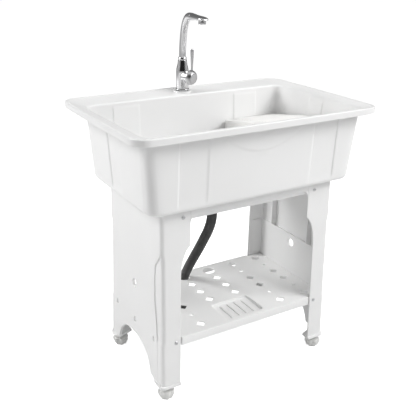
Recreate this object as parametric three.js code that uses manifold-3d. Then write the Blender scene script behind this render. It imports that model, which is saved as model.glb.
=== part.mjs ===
// Free-standing utility laundry sink: a moulded plastic basin with a lift-out washboard, a
// knock-down stand of two side panels, two rails and a shelf on levelling feet, a swivel-spout
// single-lever tap and a basket drain with a corrugated hose.
// Millimetres, +Z up, front of the sink towards -Y. Origin: floor, under the middle of the rim.
import * as THREE from "three";
import { mergeVertices } from "three/addons/utils/BufferGeometryUtils.js";
import Module from "manifold-3d";

const wasm = await Module();
wasm.setup();

// ---------- driving dimensions ----------
const CLEARANCE = 0.3; // between pieces that touch

// rim of the basin
const RIM_LENGTH = 800; // along X
const RIM_DEPTH = 532; // along Y
const RIM_HEIGHT = 826; // floor to the top of the rim bead
const RIM_CORNER_RADIUS = 46;
const APRON_HEIGHT = 19; // skirt that hangs from the rim
const BEAD_HEIGHT = 2.5; // raised edge that keeps water on the rim
const BEAD_WIDTH = 9;
const RIM_SLOPE = 0.09; // fall of the rim top towards the bowl, mm per mm
const RIM_EDGE_RADIUS = 4;
const WALL = 4.5; // wall of the moulded basin
const SIDE_BOW = 2.5; // outward bow of the long and short sides

// bowl, measured outside
const END_RIM_WIDTH = 41; // flat rim at each end
const FRONT_RIM_WIDTH = 34.9;
const DECK_DEPTH = 78.1; // wide rim behind the bowl, for the tap
const STAND_CENTRE_Y = (FRONT_RIM_WIDTH - DECK_DEPTH) / 2; // middle of the bowl and the stand
const BOWL_DRAFT_X = 17; // the bowl narrows by this much from its top to its base
const BOWL_DRAFT_Y = 10.5;
const BOWL_TOP_HALF_LENGTH = RIM_LENGTH / 2 - END_RIM_WIDTH;
const BOWL_TOP_HALF_DEPTH = (RIM_DEPTH - FRONT_RIM_WIDTH - DECK_DEPTH) / 2;
const BOWL_BASE_HALF_LENGTH = BOWL_TOP_HALF_LENGTH - BOWL_DRAFT_X;
const BOWL_BASE_HALF_DEPTH = BOWL_TOP_HALF_DEPTH - BOWL_DRAFT_Y;
const BOWL_CORNER_RADIUS = 32;
const BOWL_BASE_RADIUS = 15;
const BOWL_LIP_RADIUS = 8;
const BOWL_HEIGHT = 228; // from its base to the top of the rim bead
const BOWL_BASE_Z = RIM_HEIGHT - BOWL_HEIGHT;
const FLUTE_DEPTH = 3; // shallow raised panels in the bowl walls
const FLUTE_EDGE = 5; // width of their sloping edge
const FLUTE_WIDTH = 93; // front and back panels, each side of the middle
const FLUTE_OUTER_X = BOWL_BASE_HALF_LENGTH - 77;
const FLUTE_INNER_X = FLUTE_OUTER_X - FLUTE_WIDTH;
const FLUTE_SIDE_HALF = 35; // one panel in each end wall
const CRESCENT_HALF_WIDTH = 134; // half-moon pad under the front rim
const CRESCENT_DROP = 61;
const CRESCENT_PROUD = 2.2;
const CRESCENT_TOP_Z = RIM_HEIGHT - APRON_HEIGHT - 7;

// soap dish in the deck behind the bowl
const SOAP_X = -RIM_LENGTH / 2 + 188;
const SOAP_Y = RIM_DEPTH / 2 - 48;
const SOAP_LENGTH = 98;
const SOAP_WIDTH = 50;
const SOAP_DEPTH = 7;
const SOAP_DRAIN_GROOVES = 4;

// washboard
const BOARD_WIDTH = 213;
const BOARD_RIGHT_X = BOWL_TOP_HALF_LENGTH - 18;
const BOARD_BACK_Y = STAND_CENTRE_Y + BOWL_TOP_HALF_DEPTH - 12.9;
const BOARD_FRONT_Y = STAND_CENTRE_Y - BOWL_TOP_HALF_DEPTH + 10.1;
const BOARD_BACK_Z = RIM_HEIGHT - 108; // top surface at its back edge
const BOARD_SLOPE = THREE.MathUtils.degToRad(10.1);
const BOARD_PLATE = 4;
const BOARD_SKIRT = 26;
const BOARD_CORNER_RADIUS = 22;
const BOARD_BORDER = 26; // flat border round the ribs
const BOARD_RIB_PITCH = 16;
const BOARD_RIB_HEIGHT = 3.2;
const LEDGE_WIDTH = 11; // moulded ledges that carry the board
const LEDGE_THICKNESS = 10;
const LEDGE_LENGTH = 180;

// stand
const STAND_TOP_HALF_LENGTH = BOWL_BASE_HALF_LENGTH - 44.5;
const STAND_FOOT_HALF_LENGTH = STAND_TOP_HALF_LENGTH + 8.5;
const STAND_TOP_HALF_DEPTH = BOWL_BASE_HALF_DEPTH - 30;
const STAND_FOOT_HALF_DEPTH = STAND_TOP_HALF_DEPTH + 15.5;
const PANEL_WALL = 5; // front and back flanges
const SIDE_WALL = 3; // side of each panel
const PANEL_CORNER_RADIUS = 12;
const PANEL_BOTTOM_Z = 39;
const BOTTOM_LIP = 4.5; // proud band round the foot of each leg
const BOTTOM_LIP_HEIGHT = 10;
const TOP_LIP = 2; // proud band under the basin
const TOP_LIP_HEIGHT = 5;
const FLANGE_TOP_WIDTH = 91.5; // front and back flanges, above and below their curve
const FLANGE_MID_WIDTH = 59.5;
const FLANGE_FOOT_WIDTH = 54.5;
const FLANGE_TOP_EDGE_X = STAND_TOP_HALF_LENGTH - FLANGE_TOP_WIDTH;
const FLANGE_MID_EDGE_X = STAND_TOP_HALF_LENGTH - FLANGE_MID_WIDTH;
const FLANGE_FOOT_EDGE_X = STAND_TOP_HALF_LENGTH - FLANGE_FOOT_WIDTH;
const FLANGE_CURVE_DROP = 113; // from the basin's base down to the curve's shoulder
const FLANGE_CURVE_TOP_Z = BOWL_BASE_Z - FLANGE_CURVE_DROP;
const FLANGE_CURVE_BOTTOM_Z = FLANGE_CURVE_TOP_Z - 100;
const COLUMN_RECESS = 3.2; // the leg columns lie this far behind the panel's outer field
const COLUMN_LOW_RECESS = 1.2; // and this far below the shelf
const COLUMN_RECESS_TOP_Z = FLANGE_CURVE_TOP_Z - 27;
const COLUMN_RECESS_LOW_Z = 190;
// share of the shoulder's height and width of a leg column, from the panel's corner to the field
const COLUMN_WIDTHS = [
  [0.097, 29],
  [0.371, 31],
  [0.532, 36],
  [0.656, 44.5],
  [0.788, 44.5],
  [0.889, 39],
  [0.955, 14],
];
const ARCH_HALF_WIDTH = 118;
const ARCH_HEIGHT = 139;
const ARCH_SHIFT = 8; // the arch sits a little behind the middle of the stand
const ARCH_POWER = 2.5; // superellipse exponent of the arch
const LEG_CHAMFER_HEIGHT = 15; // slanted bottom edge of a leg's side, beside the arch
const LINING = 9; // thicker wall below a ledge on the panel's inner side
const LINING_TOP_Z = BOWL_BASE_Z - 256;
const LINING_EDGE = 12; // from the flange's inner edge
const BRACE_HALF_Y = 95; // two upright ribs under the basin on each panel's inner side
const BRACE_DEPTH = 19.5;
const BRACE_THICKNESS = 3.6;
const BRACE_RISE = 12; // slope of a rib's lower end
const PANEL_HOLE_RADIUS = 14;
const PANEL_HOLE_Z = LINING_TOP_Z - 31;
const SLOT_PITCH = 128; // three slots in each panel take the shelf's tabs
const SLOT_LENGTH = 10;
const SLOT_HEIGHT = 17;
const GUSSET_EDGE_DEPTH = 28; // plates over the feet, at the flange's edge and at the side
const GUSSET_SIDE_DEPTH = 47;
const GUSSET_THICKNESS = 7;
const FOOT_BOSS_RADIUS = 11.5;
const FOOT_BOSS_HEIGHT = 30;

// rails
const RAIL_DROP = 25;
const RAIL_BOTTOM_Z = BOWL_BASE_Z - RAIL_DROP;
const RAIL_WALL = 5;
const RAIL_SHELF = 26; // inward flange under the basin
const RAIL_END_RADIUS = 22;
const RAIL_TONGUE = 36; // part of the rail behind each flange
const RAIL_SCREW_X = FLANGE_TOP_EDGE_X + 23;

// shelf
const SHELF_TOP_Z = 200;
const SHELF_PLATE = 4;
const SHELF_SKIRT = 27;
const SHELF_CORNER_RADIUS = 10;
const SHELF_HOLE_MARGIN_X = 45; // from the shelf's ends to the outermost holes
const SHELF_HOLE_MARGIN_Y = 30;
const SHELF_HOLE = 15.5; // half diagonal of the square holes
const SHELF_SMALL_HOLE = 7;
const HOSE_HOLE_RADIUS = 20;
const TRAY_HALF_LENGTH = 68;
const TRAY_WIDTH = 98;
const TRAY_MARGIN = 8; // from the shelf's front edge
const TRAY_DEPTH = 8;
const TRAY_RIBS = 4;
const SHELF_SCREW_X = FLANGE_MID_EDGE_X + 18;
const SHELF_SCREW_DROP = 13;
const TAB_RECESS = 3; // the tabs end this far inside the panels' outer faces

// levelling feet
const FOOT_INSET_X = 24; // from the outer faces of the leg to the foot's axis
const FOOT_INSET_Y = 20;
const FOOT_RADIUS = 26.5;
const FOOT_BASE_RADIUS = 19.5;
const FOOT_HEIGHT = 26;
const FOOT_LOBES = 7;
const FOOT_LOBE_DEPTH = 4.5;
const FOOT_STUD_RADIUS = 5;
const FOOT_STUD_LENGTH = 36;
const STUD_CLEARANCE = 0.35;

// screws
const SCREW_HEAD_RADIUS = 6;
const SCREW_HEAD_HEIGHT = 2.6;
const SCREW_SHANK_RADIUS = 2;
const SCREW_LENGTH = 13;
const SCREW_HOLE_CLEARANCE = 0.35;

// drain
const DRAIN_X = -30;
const DRAIN_Y = STAND_CENTRE_Y;
const DRAIN_THROAT_RADIUS = 24;
const DRAIN_FLANGE_RADIUS = 36;
const DRAIN_FLANGE_THICKNESS = 2;
const DRAIN_TUBE_WALL = 2;
const DRAIN_TUBE_LENGTH = 34;
const DRAIN_NUT_RADIUS = 34;
const DRAIN_NUT_HEIGHT = 12;
const DRAIN_GASKET_THICKNESS = 3;
const STRAINER_DEPTH = 22;
const STRAINER_HOLES = 8;
const TAILPIECE_HEIGHT = 26;
const COUPLING_HEIGHT = 18;
const COUPLING_RADIUS = 21;

// hose
const HOSE_DIAMETER = 32;
const HOSE_WALL = 1.6;
const HOSE_RIB_DEPTH = 1.5;
const HOSE_RIB_PITCH = 5.1;
const CUFF_LENGTH = 34;
const CUFF_WALL = 3;

// tap
const TAP_SETBACK = 42; // from the rim's back edge to the tap's axis
const TAP_Y = RIM_DEPTH / 2 - TAP_SETBACK;
const TAP_SEAT_DROP = 3.5; // the tap's seat lies this far below the rim's bead
const TAP_SEAT_Z = RIM_HEIGHT - TAP_SEAT_DROP;
const TAP_SEAT_THICKNESS = 11;
const TAP_SEAT_RADIUS = 29;
const TAP_HOLE_RADIUS = 16;
const TAP_TURN = THREE.MathUtils.degToRad(20); // the body is mounted with its lever to the right
const BASE_RING_RADIUS = 22;
const BASE_RING_HEIGHT = 4;
const TAP_GASKET_THICKNESS = 1.5;
const BODY_RADIUS = 20.5;
const BODY_SHOULDER_Z = 62;
const BODY_TOP_Z = 97;
const BODY_TOP_RADIUS = 14.5;
const SHANK_RADIUS = 12;
const SHANK_LENGTH = 48;
const SHANK_BORE_RADIUS = 7;
const LEVER_AXIS_Z = 44.5;
const LEVER_PIVOT = 32; // from the tap's axis to the centre of the ball end
const HOUSING_RADIUS = 18.6;
const BALL_RADIUS = 18.8;
const BALL_FACE = 8; // the ball end is cut flat here, so that the cap can tilt over it
const CAP_RADIUS = 24;
const CAP_GAP = 2.6;
const CAP_FACE_RADIUS = 16.5;
const CARTRIDGE_RADIUS = 13;
const CARTRIDGE_DEPTH = 22;
const STICK_FOOT_RADIUS = 3.4;
const STICK_TOP_RADIUS = 5.6;
const STICK_LENGTH = 66;
const COLLAR_HEIGHT = 11;
const COLLAR_RADIUS = 13.2;
const PIPE_RADIUS = 11;
const PIPE_WALL = 1.5;
const SPOUT_TOP_Z = 234; // centre of the pipe at the spout head, above the seat
const SPOUT_REACH = 118; // tap axis to the outlet
const HEAD_LENGTH = 92;
const HEAD_WIDTH = 31;
const HEAD_THICKNESS = 13;
const AERATOR_RADIUS = 11.5;
const AERATOR_HEIGHT = 9;

// ---------- materials ----------
const finish = (color, roughness, metalness) =>
  new THREE.MeshStandardMaterial({ color, roughness, metalness });
const WHITE_PLASTIC = finish(0xf4f4f2, 0.45, 0);
const SATIN_PLASTIC = finish(0xf0f0ee, 0.55, 0);
const BOARD_PLASTIC = finish(0xf3f1ea, 0.5, 0);
const FOOT_PLASTIC = finish(0xe6e6e2, 0.5, 0);
const GREY_HOSE = finish(0x4c4c4c, 0.6, 0);
const BLACK_RUBBER = finish(0x202020, 0.85, 0);
const CHROME = finish(0xdadada, 0.12, 1);
const STEEL = finish(0xb8b8b8, 0.35, 1);
const BRASS = finish(0xb59a55, 0.4, 1);
const BLUE_MARK = finish(0x4f86a8, 0.4, 0);

// ---------- solid helpers ----------
const MERGE_DISTANCE = 1e-4;
const SIMPLIFY_TOLERANCE = 0.03;

function solid(geometry) {
  const bare = geometry.index ? geometry.toNonIndexed() : geometry.clone();
  bare.deleteAttribute("normal");
  bare.deleteAttribute("uv");
  const merged = mergeVertices(bare, MERGE_DISTANCE);
  return new wasm.Manifold(
    new wasm.Mesh({
      numProp: 3,
      vertProperties: merged.attributes.position.array,
      triVerts: new Uint32Array(merged.index.array),
    }),
  );
}

function geometryOf(body) {
  const mesh = body.simplify(SIMPLIFY_TOLERANCE).getMesh();
  const geometry = new THREE.BufferGeometry();
  geometry.setAttribute("position", new THREE.BufferAttribute(mesh.vertProperties, 3));
  geometry.setIndex(new THREE.BufferAttribute(mesh.triVerts, 1));
  geometry.computeVertexNormals();
  return geometry;
}

function part(name, shape, material, parent, place = [0, 0, 0]) {
  const geometry = shape.isBufferGeometry ? shape : geometryOf(shape);
  const mesh = new THREE.Mesh(geometry, material);
  mesh.name = name;
  mesh.position.set(...place);
  parent.add(mesh);
  return mesh;
}

const box = (x0, x1, y0, y1, z0, z1) =>
  solid(
    new THREE.BoxGeometry(x1 - x0, y1 - y0, z1 - z0).translate(
      (x0 + x1) / 2,
      (y0 + y1) / 2,
      (z0 + z1) / 2,
    ),
  );

// A solid of revolution about Z; the profile is a list of [radius, z].
function lathe(profile, segments = 20) {
  const points = profile.map(([r, z]) => new THREE.Vector2(r, z));
  return solid(new THREE.LatheGeometry(points, segments).rotateX(Math.PI / 2));
}

// A tube or ring about Z between two radii.
const ring = (outer, inner, z0, z1, segments = 20) =>
  lathe([[inner, z0], [outer, z0], [outer, z1], [inner, z1], [inner, z0]], segments);

const rod = (radius, z0, z1, segments = 18) =>
  lathe([[0, z0], [radius, z0], [radius, z1], [0, z1]], segments);

function extruded(shape, depth, curveSegments = 8) {
  return new THREE.ExtrudeGeometry(shape, { depth, bevelEnabled: false, curveSegments });
}

// Extrudes a shape drawn in X-Y along +Z from z0 to z1.
const alongZ = (shape, z0, z1, segments) =>
  solid(extruded(shape, z1 - z0, segments).translate(0, 0, z0));

// Extrudes a shape drawn as (x, z) along +Y from y0 to y1.
const alongY = (shape, y0, y1, segments) =>
  solid(extruded(shape, y1 - y0, segments).rotateX(Math.PI / 2).translate(0, y1, 0));

// Extrudes a shape drawn as (y, z) along +X from x0 to x1.
const alongX = (shape, x0, x1, segments) =>
  solid(
    extruded(shape, x1 - x0, segments)
      .rotateX(Math.PI / 2)
      .rotateZ(Math.PI / 2)
      .translate(x0, 0, 0),
  );

function roundedRectangle(halfX, halfY, radius, centreX = 0, centreY = 0) {
  const shape = new THREE.Shape();
  const [x0, x1] = [centreX - halfX, centreX + halfX];
  const [y0, y1] = [centreY - halfY, centreY + halfY];
  shape.moveTo(x0 + radius, y0);
  shape.lineTo(x1 - radius, y0);
  shape.absarc(x1 - radius, y0 + radius, radius, -Math.PI / 2, 0);
  shape.lineTo(x1, y1 - radius);
  shape.absarc(x1 - radius, y1 - radius, radius, 0, Math.PI / 2);
  shape.lineTo(x0 + radius, y1);
  shape.absarc(x0 + radius, y1 - radius, radius, Math.PI / 2, Math.PI);
  shape.lineTo(x0, y0 + radius);
  shape.absarc(x0 + radius, y0 + radius, radius, Math.PI, Math.PI * 1.5);
  return shape;
}

function polygon(points) {
  return new THREE.Shape(points.map(([x, y]) => new THREE.Vector2(x, y)));
}

// Joins rings of equally many points into a closed skin, with flat ends.
// The flat ends are triangulated in the two axes that capAxes names.
function loft(rings, capAxes = ["x", "y"]) {
  const count = rings[0].length;
  const positions = rings.flat().flatMap((p) => [p.x, p.y, p.z]);
  const index = [];
  for (let k = 0; k + 1 < rings.length; k++) {
    for (let i = 0; i < count; i++) {
      const j = (i + 1) % count;
      const [a, b] = [k * count + i, k * count + j];
      const [c, d] = [a + count, b + count];
      index.push(a, b, d, a, d, c);
    }
  }
  const flat = (r) => r.map((p) => new THREE.Vector2(p[capAxes[0]], p[capAxes[1]]));
  const last = (rings.length - 1) * count;
  for (const [a, b, c] of THREE.ShapeUtils.triangulateShape(flat(rings[0]), [])) {
    index.push(a, c, b);
  }
  for (const [a, b, c] of THREE.ShapeUtils.triangulateShape(flat(rings.at(-1)), [])) {
    index.push(last + a, last + b, last + c);
  }
  const geometry = new THREE.BufferGeometry();
  geometry.setAttribute("position", new THREE.Float32BufferAttribute(positions, 3));
  geometry.setIndex(index);
  return solid(geometry);
}

const mix = (a, b, t) => a + (b - a) * t;

// ---------- basin ----------
const CORNER_STEPS = 4;

// One level of the basin: a rounded rectangle, bowed on each side, that can carry the flutes.
// Its points run anticlockwise from the front left corner.
function basinLevel({ half, front, back, radius, z, backZ = z, flute = 0, bow = SIDE_BOW }) {
  const level = [];
  const middleY = (front + back) / 2;
  const halfDepth = (back - front) / 2;
  const put = (x, y, out) => {
    const t = THREE.MathUtils.clamp((y - middleY) / halfDepth, -1, 1);
    level.push(new THREE.Vector3(x + out[0], y + out[1], t > 0 ? mix(z, backZ, t) : z));
  };
  const bulge = (s, halfSide) => bow * (1 - (s / halfSide) ** 2);
  const long = [];
  for (const [a, b] of [[-FLUTE_OUTER_X, -FLUTE_INNER_X], [FLUTE_INNER_X, FLUTE_OUTER_X]]) {
    long.push([a, 0], [a + FLUTE_EDGE, flute], [b - FLUTE_EDGE, flute], [b, 0]);
  }
  long.splice(4, 0, [0, 0]);
  const short = [
    [-FLUTE_SIDE_HALF, 0],
    [-FLUTE_SIDE_HALF + FLUTE_EDGE, flute],
    [FLUTE_SIDE_HALF - FLUTE_EDGE, flute],
    [FLUTE_SIDE_HALF, 0],
  ];
  const corner = (cx, cy, start) => {
    for (let i = 0; i <= CORNER_STEPS; i++) {
      const a = start + ((Math.PI / 2) * i) / CORNER_STEPS;
      put(cx + radius * Math.cos(a), cy + radius * Math.sin(a), [0, 0]);
    }
  };
  corner(-half + radius, front + radius, Math.PI);
  for (const [s, out] of long) put(s, front, [0, -out - bulge(s, half)]);
  corner(half - radius, front + radius, -Math.PI / 2);
  for (const [s, out] of short) {
    put(half, STAND_CENTRE_Y + s, [out + bulge(s, halfDepth), 0]);
  }
  corner(half - radius, back - radius, 0);
  for (const [s, out] of long.toReversed()) put(s, back, [0, out + bulge(s, half)]);
  corner(-half + radius, back - radius, Math.PI / 2);
  for (const [s, out] of short.toReversed()) {
    put(-half, STAND_CENTRE_Y + s, [-out - bulge(s, halfDepth), 0]);
  }
  return level;
}

// The bowl's outer size at a height, from its draft.
const RIM_UNDERSIDE_Z = RIM_HEIGHT - BEAD_HEIGHT - WALL;
function bowlSize(z, inset = 0) {
  const t = (z - BOWL_BASE_Z) / (RIM_UNDERSIDE_Z - BOWL_BASE_Z);
  const half = mix(BOWL_BASE_HALF_LENGTH, BOWL_TOP_HALF_LENGTH, t) - inset;
  const depth = mix(BOWL_BASE_HALF_DEPTH, BOWL_TOP_HALF_DEPTH, t) - inset;
  return { half, front: STAND_CENTRE_Y - depth, back: STAND_CENTRE_Y + depth };
}

function rimLevel(inset, z, backZ = z) {
  return basinLevel({
    half: RIM_LENGTH / 2 - SIDE_BOW - inset,
    front: -RIM_DEPTH / 2 + SIDE_BOW + inset,
    back: RIM_DEPTH / 2 - SIDE_BOW - inset,
    radius: Math.max(RIM_CORNER_RADIUS - inset, 4),
    z,
    backZ,
  });
}

const wallLevel = (z, inset, flute) =>
  basinLevel({ ...bowlSize(z, inset), radius: BOWL_CORNER_RADIUS - inset, z, flute });

const FLUTE_FADE = 12;
const FLUTE_BOTTOM_Z = BOWL_BASE_Z + BOWL_BASE_RADIUS + FLUTE_FADE;
const FLUTE_TOP_Z = RIM_HEIGHT - APRON_HEIGHT - FLUTE_FADE;
const FLOOR_Z = BOWL_BASE_Z + WALL;

// Outside of the bowl, from the base up to the underside of the rim.
function bowlOutside() {
  const levels = [];
  for (const degrees of [0, 45, 90]) {
    const a = THREE.MathUtils.degToRad(degrees);
    const inset = BOWL_BASE_RADIUS * (1 - Math.sin(a));
    const z = BOWL_BASE_Z + BOWL_BASE_RADIUS * (1 - Math.cos(a));
    levels.push(basinLevel({ ...bowlSize(z, inset), radius: BOWL_CORNER_RADIUS - inset / 2, z }));
  }
  levels.push(wallLevel(FLUTE_BOTTOM_Z, 0, FLUTE_DEPTH));
  levels.push(wallLevel(FLUTE_TOP_Z, 0, FLUTE_DEPTH));
  levels.push(wallLevel(FLUTE_TOP_Z + FLUTE_FADE, 0, 0));
  return levels;
}

function basinShell() {
  const levels = bowlOutside();
  const rimFall = RIM_SLOPE * (RIM_LENGTH / 2 - BOWL_TOP_HALF_LENGTH);
  const deckFall = RIM_SLOPE * (RIM_DEPTH / 2 - bowlSize(RIM_UNDERSIDE_Z).back);
  const plateTop = RIM_HEIGHT - BEAD_HEIGHT;
  const top = bowlSize(RIM_UNDERSIDE_Z);
  levels.push(
    basinLevel({
      ...top,
      radius: BOWL_CORNER_RADIUS,
      z: RIM_UNDERSIDE_Z - rimFall,
      backZ: RIM_UNDERSIDE_Z - deckFall,
    }),
  );
  // rim: underside, apron, bead and sloping top
  levels.push(rimLevel(WALL, RIM_UNDERSIDE_Z));
  levels.push(rimLevel(WALL, RIM_HEIGHT - APRON_HEIGHT));
  levels.push(rimLevel(0, RIM_HEIGHT - APRON_HEIGHT));
  for (const degrees of [0, 45, 90]) {
    const a = THREE.MathUtils.degToRad(degrees);
    levels.push(
      rimLevel(
        RIM_EDGE_RADIUS * (1 - Math.cos(a)),
        RIM_HEIGHT - RIM_EDGE_RADIUS * (1 - Math.sin(a)),
      ),
    );
  }
  levels.push(rimLevel(BEAD_WIDTH, RIM_HEIGHT - BEAD_HEIGHT * 0.15));
  levels.push(rimLevel(BEAD_WIDTH + 4, plateTop));
  // rounded lip into the bowl, then the inside down to the floor
  for (const degrees of [0, 45, 90]) {
    const a = THREE.MathUtils.degToRad(degrees);
    const grow = BOWL_LIP_RADIUS * (1 - Math.sin(a));
    const drop = BOWL_LIP_RADIUS * (1 - Math.cos(a));
    const size = bowlSize(plateTop, WALL - grow);
    levels.push(
      basinLevel({
        ...size,
        radius: BOWL_CORNER_RADIUS - WALL + grow,
        z: plateTop - rimFall - drop,
        backZ: plateTop - deckFall - drop,
      }),
    );
  }
  levels.push(wallLevel(FLUTE_TOP_Z, WALL, FLUTE_DEPTH));
  levels.push(wallLevel(FLUTE_BOTTOM_Z + WALL, WALL, FLUTE_DEPTH));
  for (const degrees of [90, 45, 0]) {
    const a = THREE.MathUtils.degToRad(degrees);
    const inset = WALL + BOWL_BASE_RADIUS * (1 - Math.sin(a));
    const z = FLOOR_Z + BOWL_BASE_RADIUS * (1 - Math.cos(a));
    levels.push(
      basinLevel({ ...bowlSize(z, inset), radius: BOWL_CORNER_RADIUS - inset / 2, z }),
    );
  }
  return loft(levels);
}

// Half-moon pad on the front wall, just under the rim.
function crescentPad() {
  const radius = (CRESCENT_HALF_WIDTH ** 2 + CRESCENT_DROP ** 2) / (2 * CRESCENT_DROP);
  const centreZ = CRESCENT_TOP_Z - CRESCENT_DROP + radius;
  const half = Math.asin(CRESCENT_HALF_WIDTH / radius);
  const shape = new THREE.Shape();
  shape.absarc(0, centreZ, radius, -Math.PI / 2 - half, -Math.PI / 2 + half);
  const face = bowlSize(CRESCENT_TOP_Z).front - SIDE_BOW;
  const draft = BOWL_DRAFT_Y / (RIM_UNDERSIDE_Z - BOWL_BASE_Z);
  return alongY(shape, face - CRESCENT_PROUD, face + WALL / 2, 14).transform([
    ...[1, 0, 0, 0],
    ...[0, 1, 0, 0],
    ...[0, -draft, 1, 0],
    ...[0, draft * CRESCENT_TOP_Z, 0, 1],
  ]);
}

function soapDish(basin) {
  const deckZ = RIM_HEIGHT - BEAD_HEIGHT;
  const floor = deckZ - SOAP_DEPTH - RIM_SLOPE * (RIM_DEPTH / 2 - SOAP_Y);
  const outline = (grow) =>
    roundedRectangle(SOAP_LENGTH / 2 + grow, SOAP_WIDTH / 2 + grow, 14 + grow, SOAP_X, SOAP_Y);
  const tub = alongZ(outline(WALL / 2), floor - WALL / 2, deckZ - WALL, 4);
  let dish = basin.add(tub).subtract(alongZ(outline(0), floor, RIM_HEIGHT + 1, 4));
  const pitch = (SOAP_LENGTH - 28) / (SOAP_DRAIN_GROOVES - 1);
  for (let i = 0; i < SOAP_DRAIN_GROOVES; i++) {
    const x = SOAP_X - (pitch * (SOAP_DRAIN_GROOVES - 1)) / 2 + i * pitch;
    const y = SOAP_WIDTH / 2 - 9;
    dish = dish.add(box(x - 2, x + 2, SOAP_Y - y, SOAP_Y + y, floor - 1, floor + 2));
  }
  return dish;
}

// The washboard is drawn flat and then sloped about its back top edge, with upright sides.
const BOARD_LENGTH = BOARD_BACK_Y - BOARD_FRONT_Y;
const BOARD_CENTRE_X = BOARD_RIGHT_X - BOARD_WIDTH / 2;
const sloped = (body) =>
  body.transform([
    ...[1, 0, 0, 0],
    ...[0, 1, -Math.tan(BOARD_SLOPE), 0],
    ...[0, 0, 1, 0],
    ...[BOARD_CENTRE_X, BOARD_BACK_Y, BOARD_BACK_Z, 1],
  ]);

function boardLedges() {
  const top = -BOARD_SKIRT - CLEARANCE;
  const half = LEDGE_LENGTH / 2;
  const back = box(-half, half, -LEDGE_WIDTH, 4 * WALL, top - LEDGE_THICKNESS, top);
  const front = box(
    -half,
    half,
    -BOARD_LENGTH - 4 * WALL,
    -BOARD_LENGTH + LEDGE_WIDTH,
    top - LEDGE_THICKNESS,
    top,
  );
  const outside = loft(bowlOutside());
  return [back, front].map((ledge) => sloped(ledge).intersect(outside));
}

function makeBasin() {
  let basin = soapDish(basinShell()).add(crescentPad());
  for (const ledge of boardLedges()) basin = basin.add(ledge);
  const seatBottom = TAP_SEAT_Z - TAP_SEAT_THICKNESS;
  const seat = rod(TAP_SEAT_RADIUS, seatBottom, TAP_SEAT_Z).translate([0, TAP_Y, 0]);
  const tapHole = rod(TAP_HOLE_RADIUS, TAP_SEAT_Z - 20, TAP_SEAT_Z + 10);
  const drainHole = rod(
    DRAIN_THROAT_RADIUS + DRAIN_TUBE_WALL + CLEARANCE,
    BOWL_BASE_Z - 5,
    FLOOR_Z + 5,
    32,
  );
  return basin
    .add(seat)
    .subtract(tapHole.translate([0, TAP_Y, 0]))
    .subtract(drainHole.translate([DRAIN_X, DRAIN_Y, 0]));
}

// ---------- washboard ----------
function makeWashboard() {
  const centreY = -BOARD_LENGTH / 2;
  const outline = (inset) =>
    roundedRectangle(
      BOARD_WIDTH / 2 - inset,
      BOARD_LENGTH / 2 - inset,
      BOARD_CORNER_RADIUS - inset,
      0,
      centreY,
    );
  const shell = alongZ(outline(0), -BOARD_SKIRT, 0, 4).subtract(
    alongZ(outline(BOARD_PLATE), -BOARD_SKIRT - 1, -BOARD_PLATE, 4),
  );
  // scrubbing ribs: one wave drawn in (y, z) and extruded across the board
  const ribbed = BOARD_LENGTH - 2 * BOARD_BORDER;
  const ribs = Math.floor(ribbed / BOARD_RIB_PITCH);
  const start = centreY - (ribs * BOARD_RIB_PITCH) / 2;
  const wave = [[start, -BOARD_PLATE / 2]];
  const STEPS_PER_RIB = 4;
  for (let i = 0; i <= ribs * STEPS_PER_RIB; i++) {
    const t = i / STEPS_PER_RIB;
    const height = BOARD_RIB_HEIGHT * Math.sin(Math.PI * t) ** 2;
    wave.push([start + t * BOARD_RIB_PITCH, height - 0.01]);
  }
  wave.push([start + ribs * BOARD_RIB_PITCH, -BOARD_PLATE / 2]);
  const half = BOARD_WIDTH / 2 - BOARD_BORDER;
  return sloped(shell.add(alongX(polygon(wave), -half, half)));
}

// ---------- stand ----------
const standHalfLength = (z) =>
  mix(STAND_FOOT_HALF_LENGTH, STAND_TOP_HALF_LENGTH, z / BOWL_BASE_Z);
const standHalfDepth = (z) => mix(STAND_FOOT_HALF_DEPTH, STAND_TOP_HALF_DEPTH, z / BOWL_BASE_Z);
const PANEL_TOP_Z = BOWL_BASE_Z - CLEARANCE;

// Plan of a side panel at a height: a U with its flanges towards the middle, as one closed
// outline. side is -1 for the left panel and 1 for the right one. growX and growY move the
// outside, wallX and wallY give the inside's depth, and edge is the flanges' inner end.
const COLUMN_WALL = COLUMN_RECESS + SIDE_WALL;
function panelLevel(
  side,
  z,
  growX,
  growY,
  wallX = COLUMN_WALL,
  wallY = PANEL_WALL,
  edge = FLANGE_TOP_EDGE_X,
) {
  const outX = standHalfLength(z) + growX;
  const outY = standHalfDepth(z) + growY;
  const inX = standHalfLength(z) - wallX;
  const inY = standHalfDepth(z) - wallY;
  const level = [];
  const arc = (x, y, r, from, to) => {
    const STEPS = 3;
    for (let i = 0; i <= STEPS; i++) {
      const a = mix(from, to, i / STEPS);
      level.push([x + r * Math.cos(a), y + r * Math.sin(a)]);
    }
  };
  const outer = PANEL_CORNER_RADIUS;
  const inner = PANEL_CORNER_RADIUS - PANEL_WALL;
  level.push([edge, -outY]);
  arc(outX - outer, -outY + outer, outer, -Math.PI / 2, 0);
  arc(outX - outer, outY - outer, outer, 0, Math.PI / 2);
  level.push([edge, outY], [edge, inY]);
  arc(inX - inner, inY - inner, inner, Math.PI / 2, 0);
  arc(inX - inner, -inY + inner, inner, 0, -Math.PI / 2);
  level.push([edge, -inY]);
  const points = level.map(([x, y]) => new THREE.Vector3(side * x, STAND_CENTRE_Y + y, z));
  return side > 0 ? points : points.reverse();
}

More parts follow.
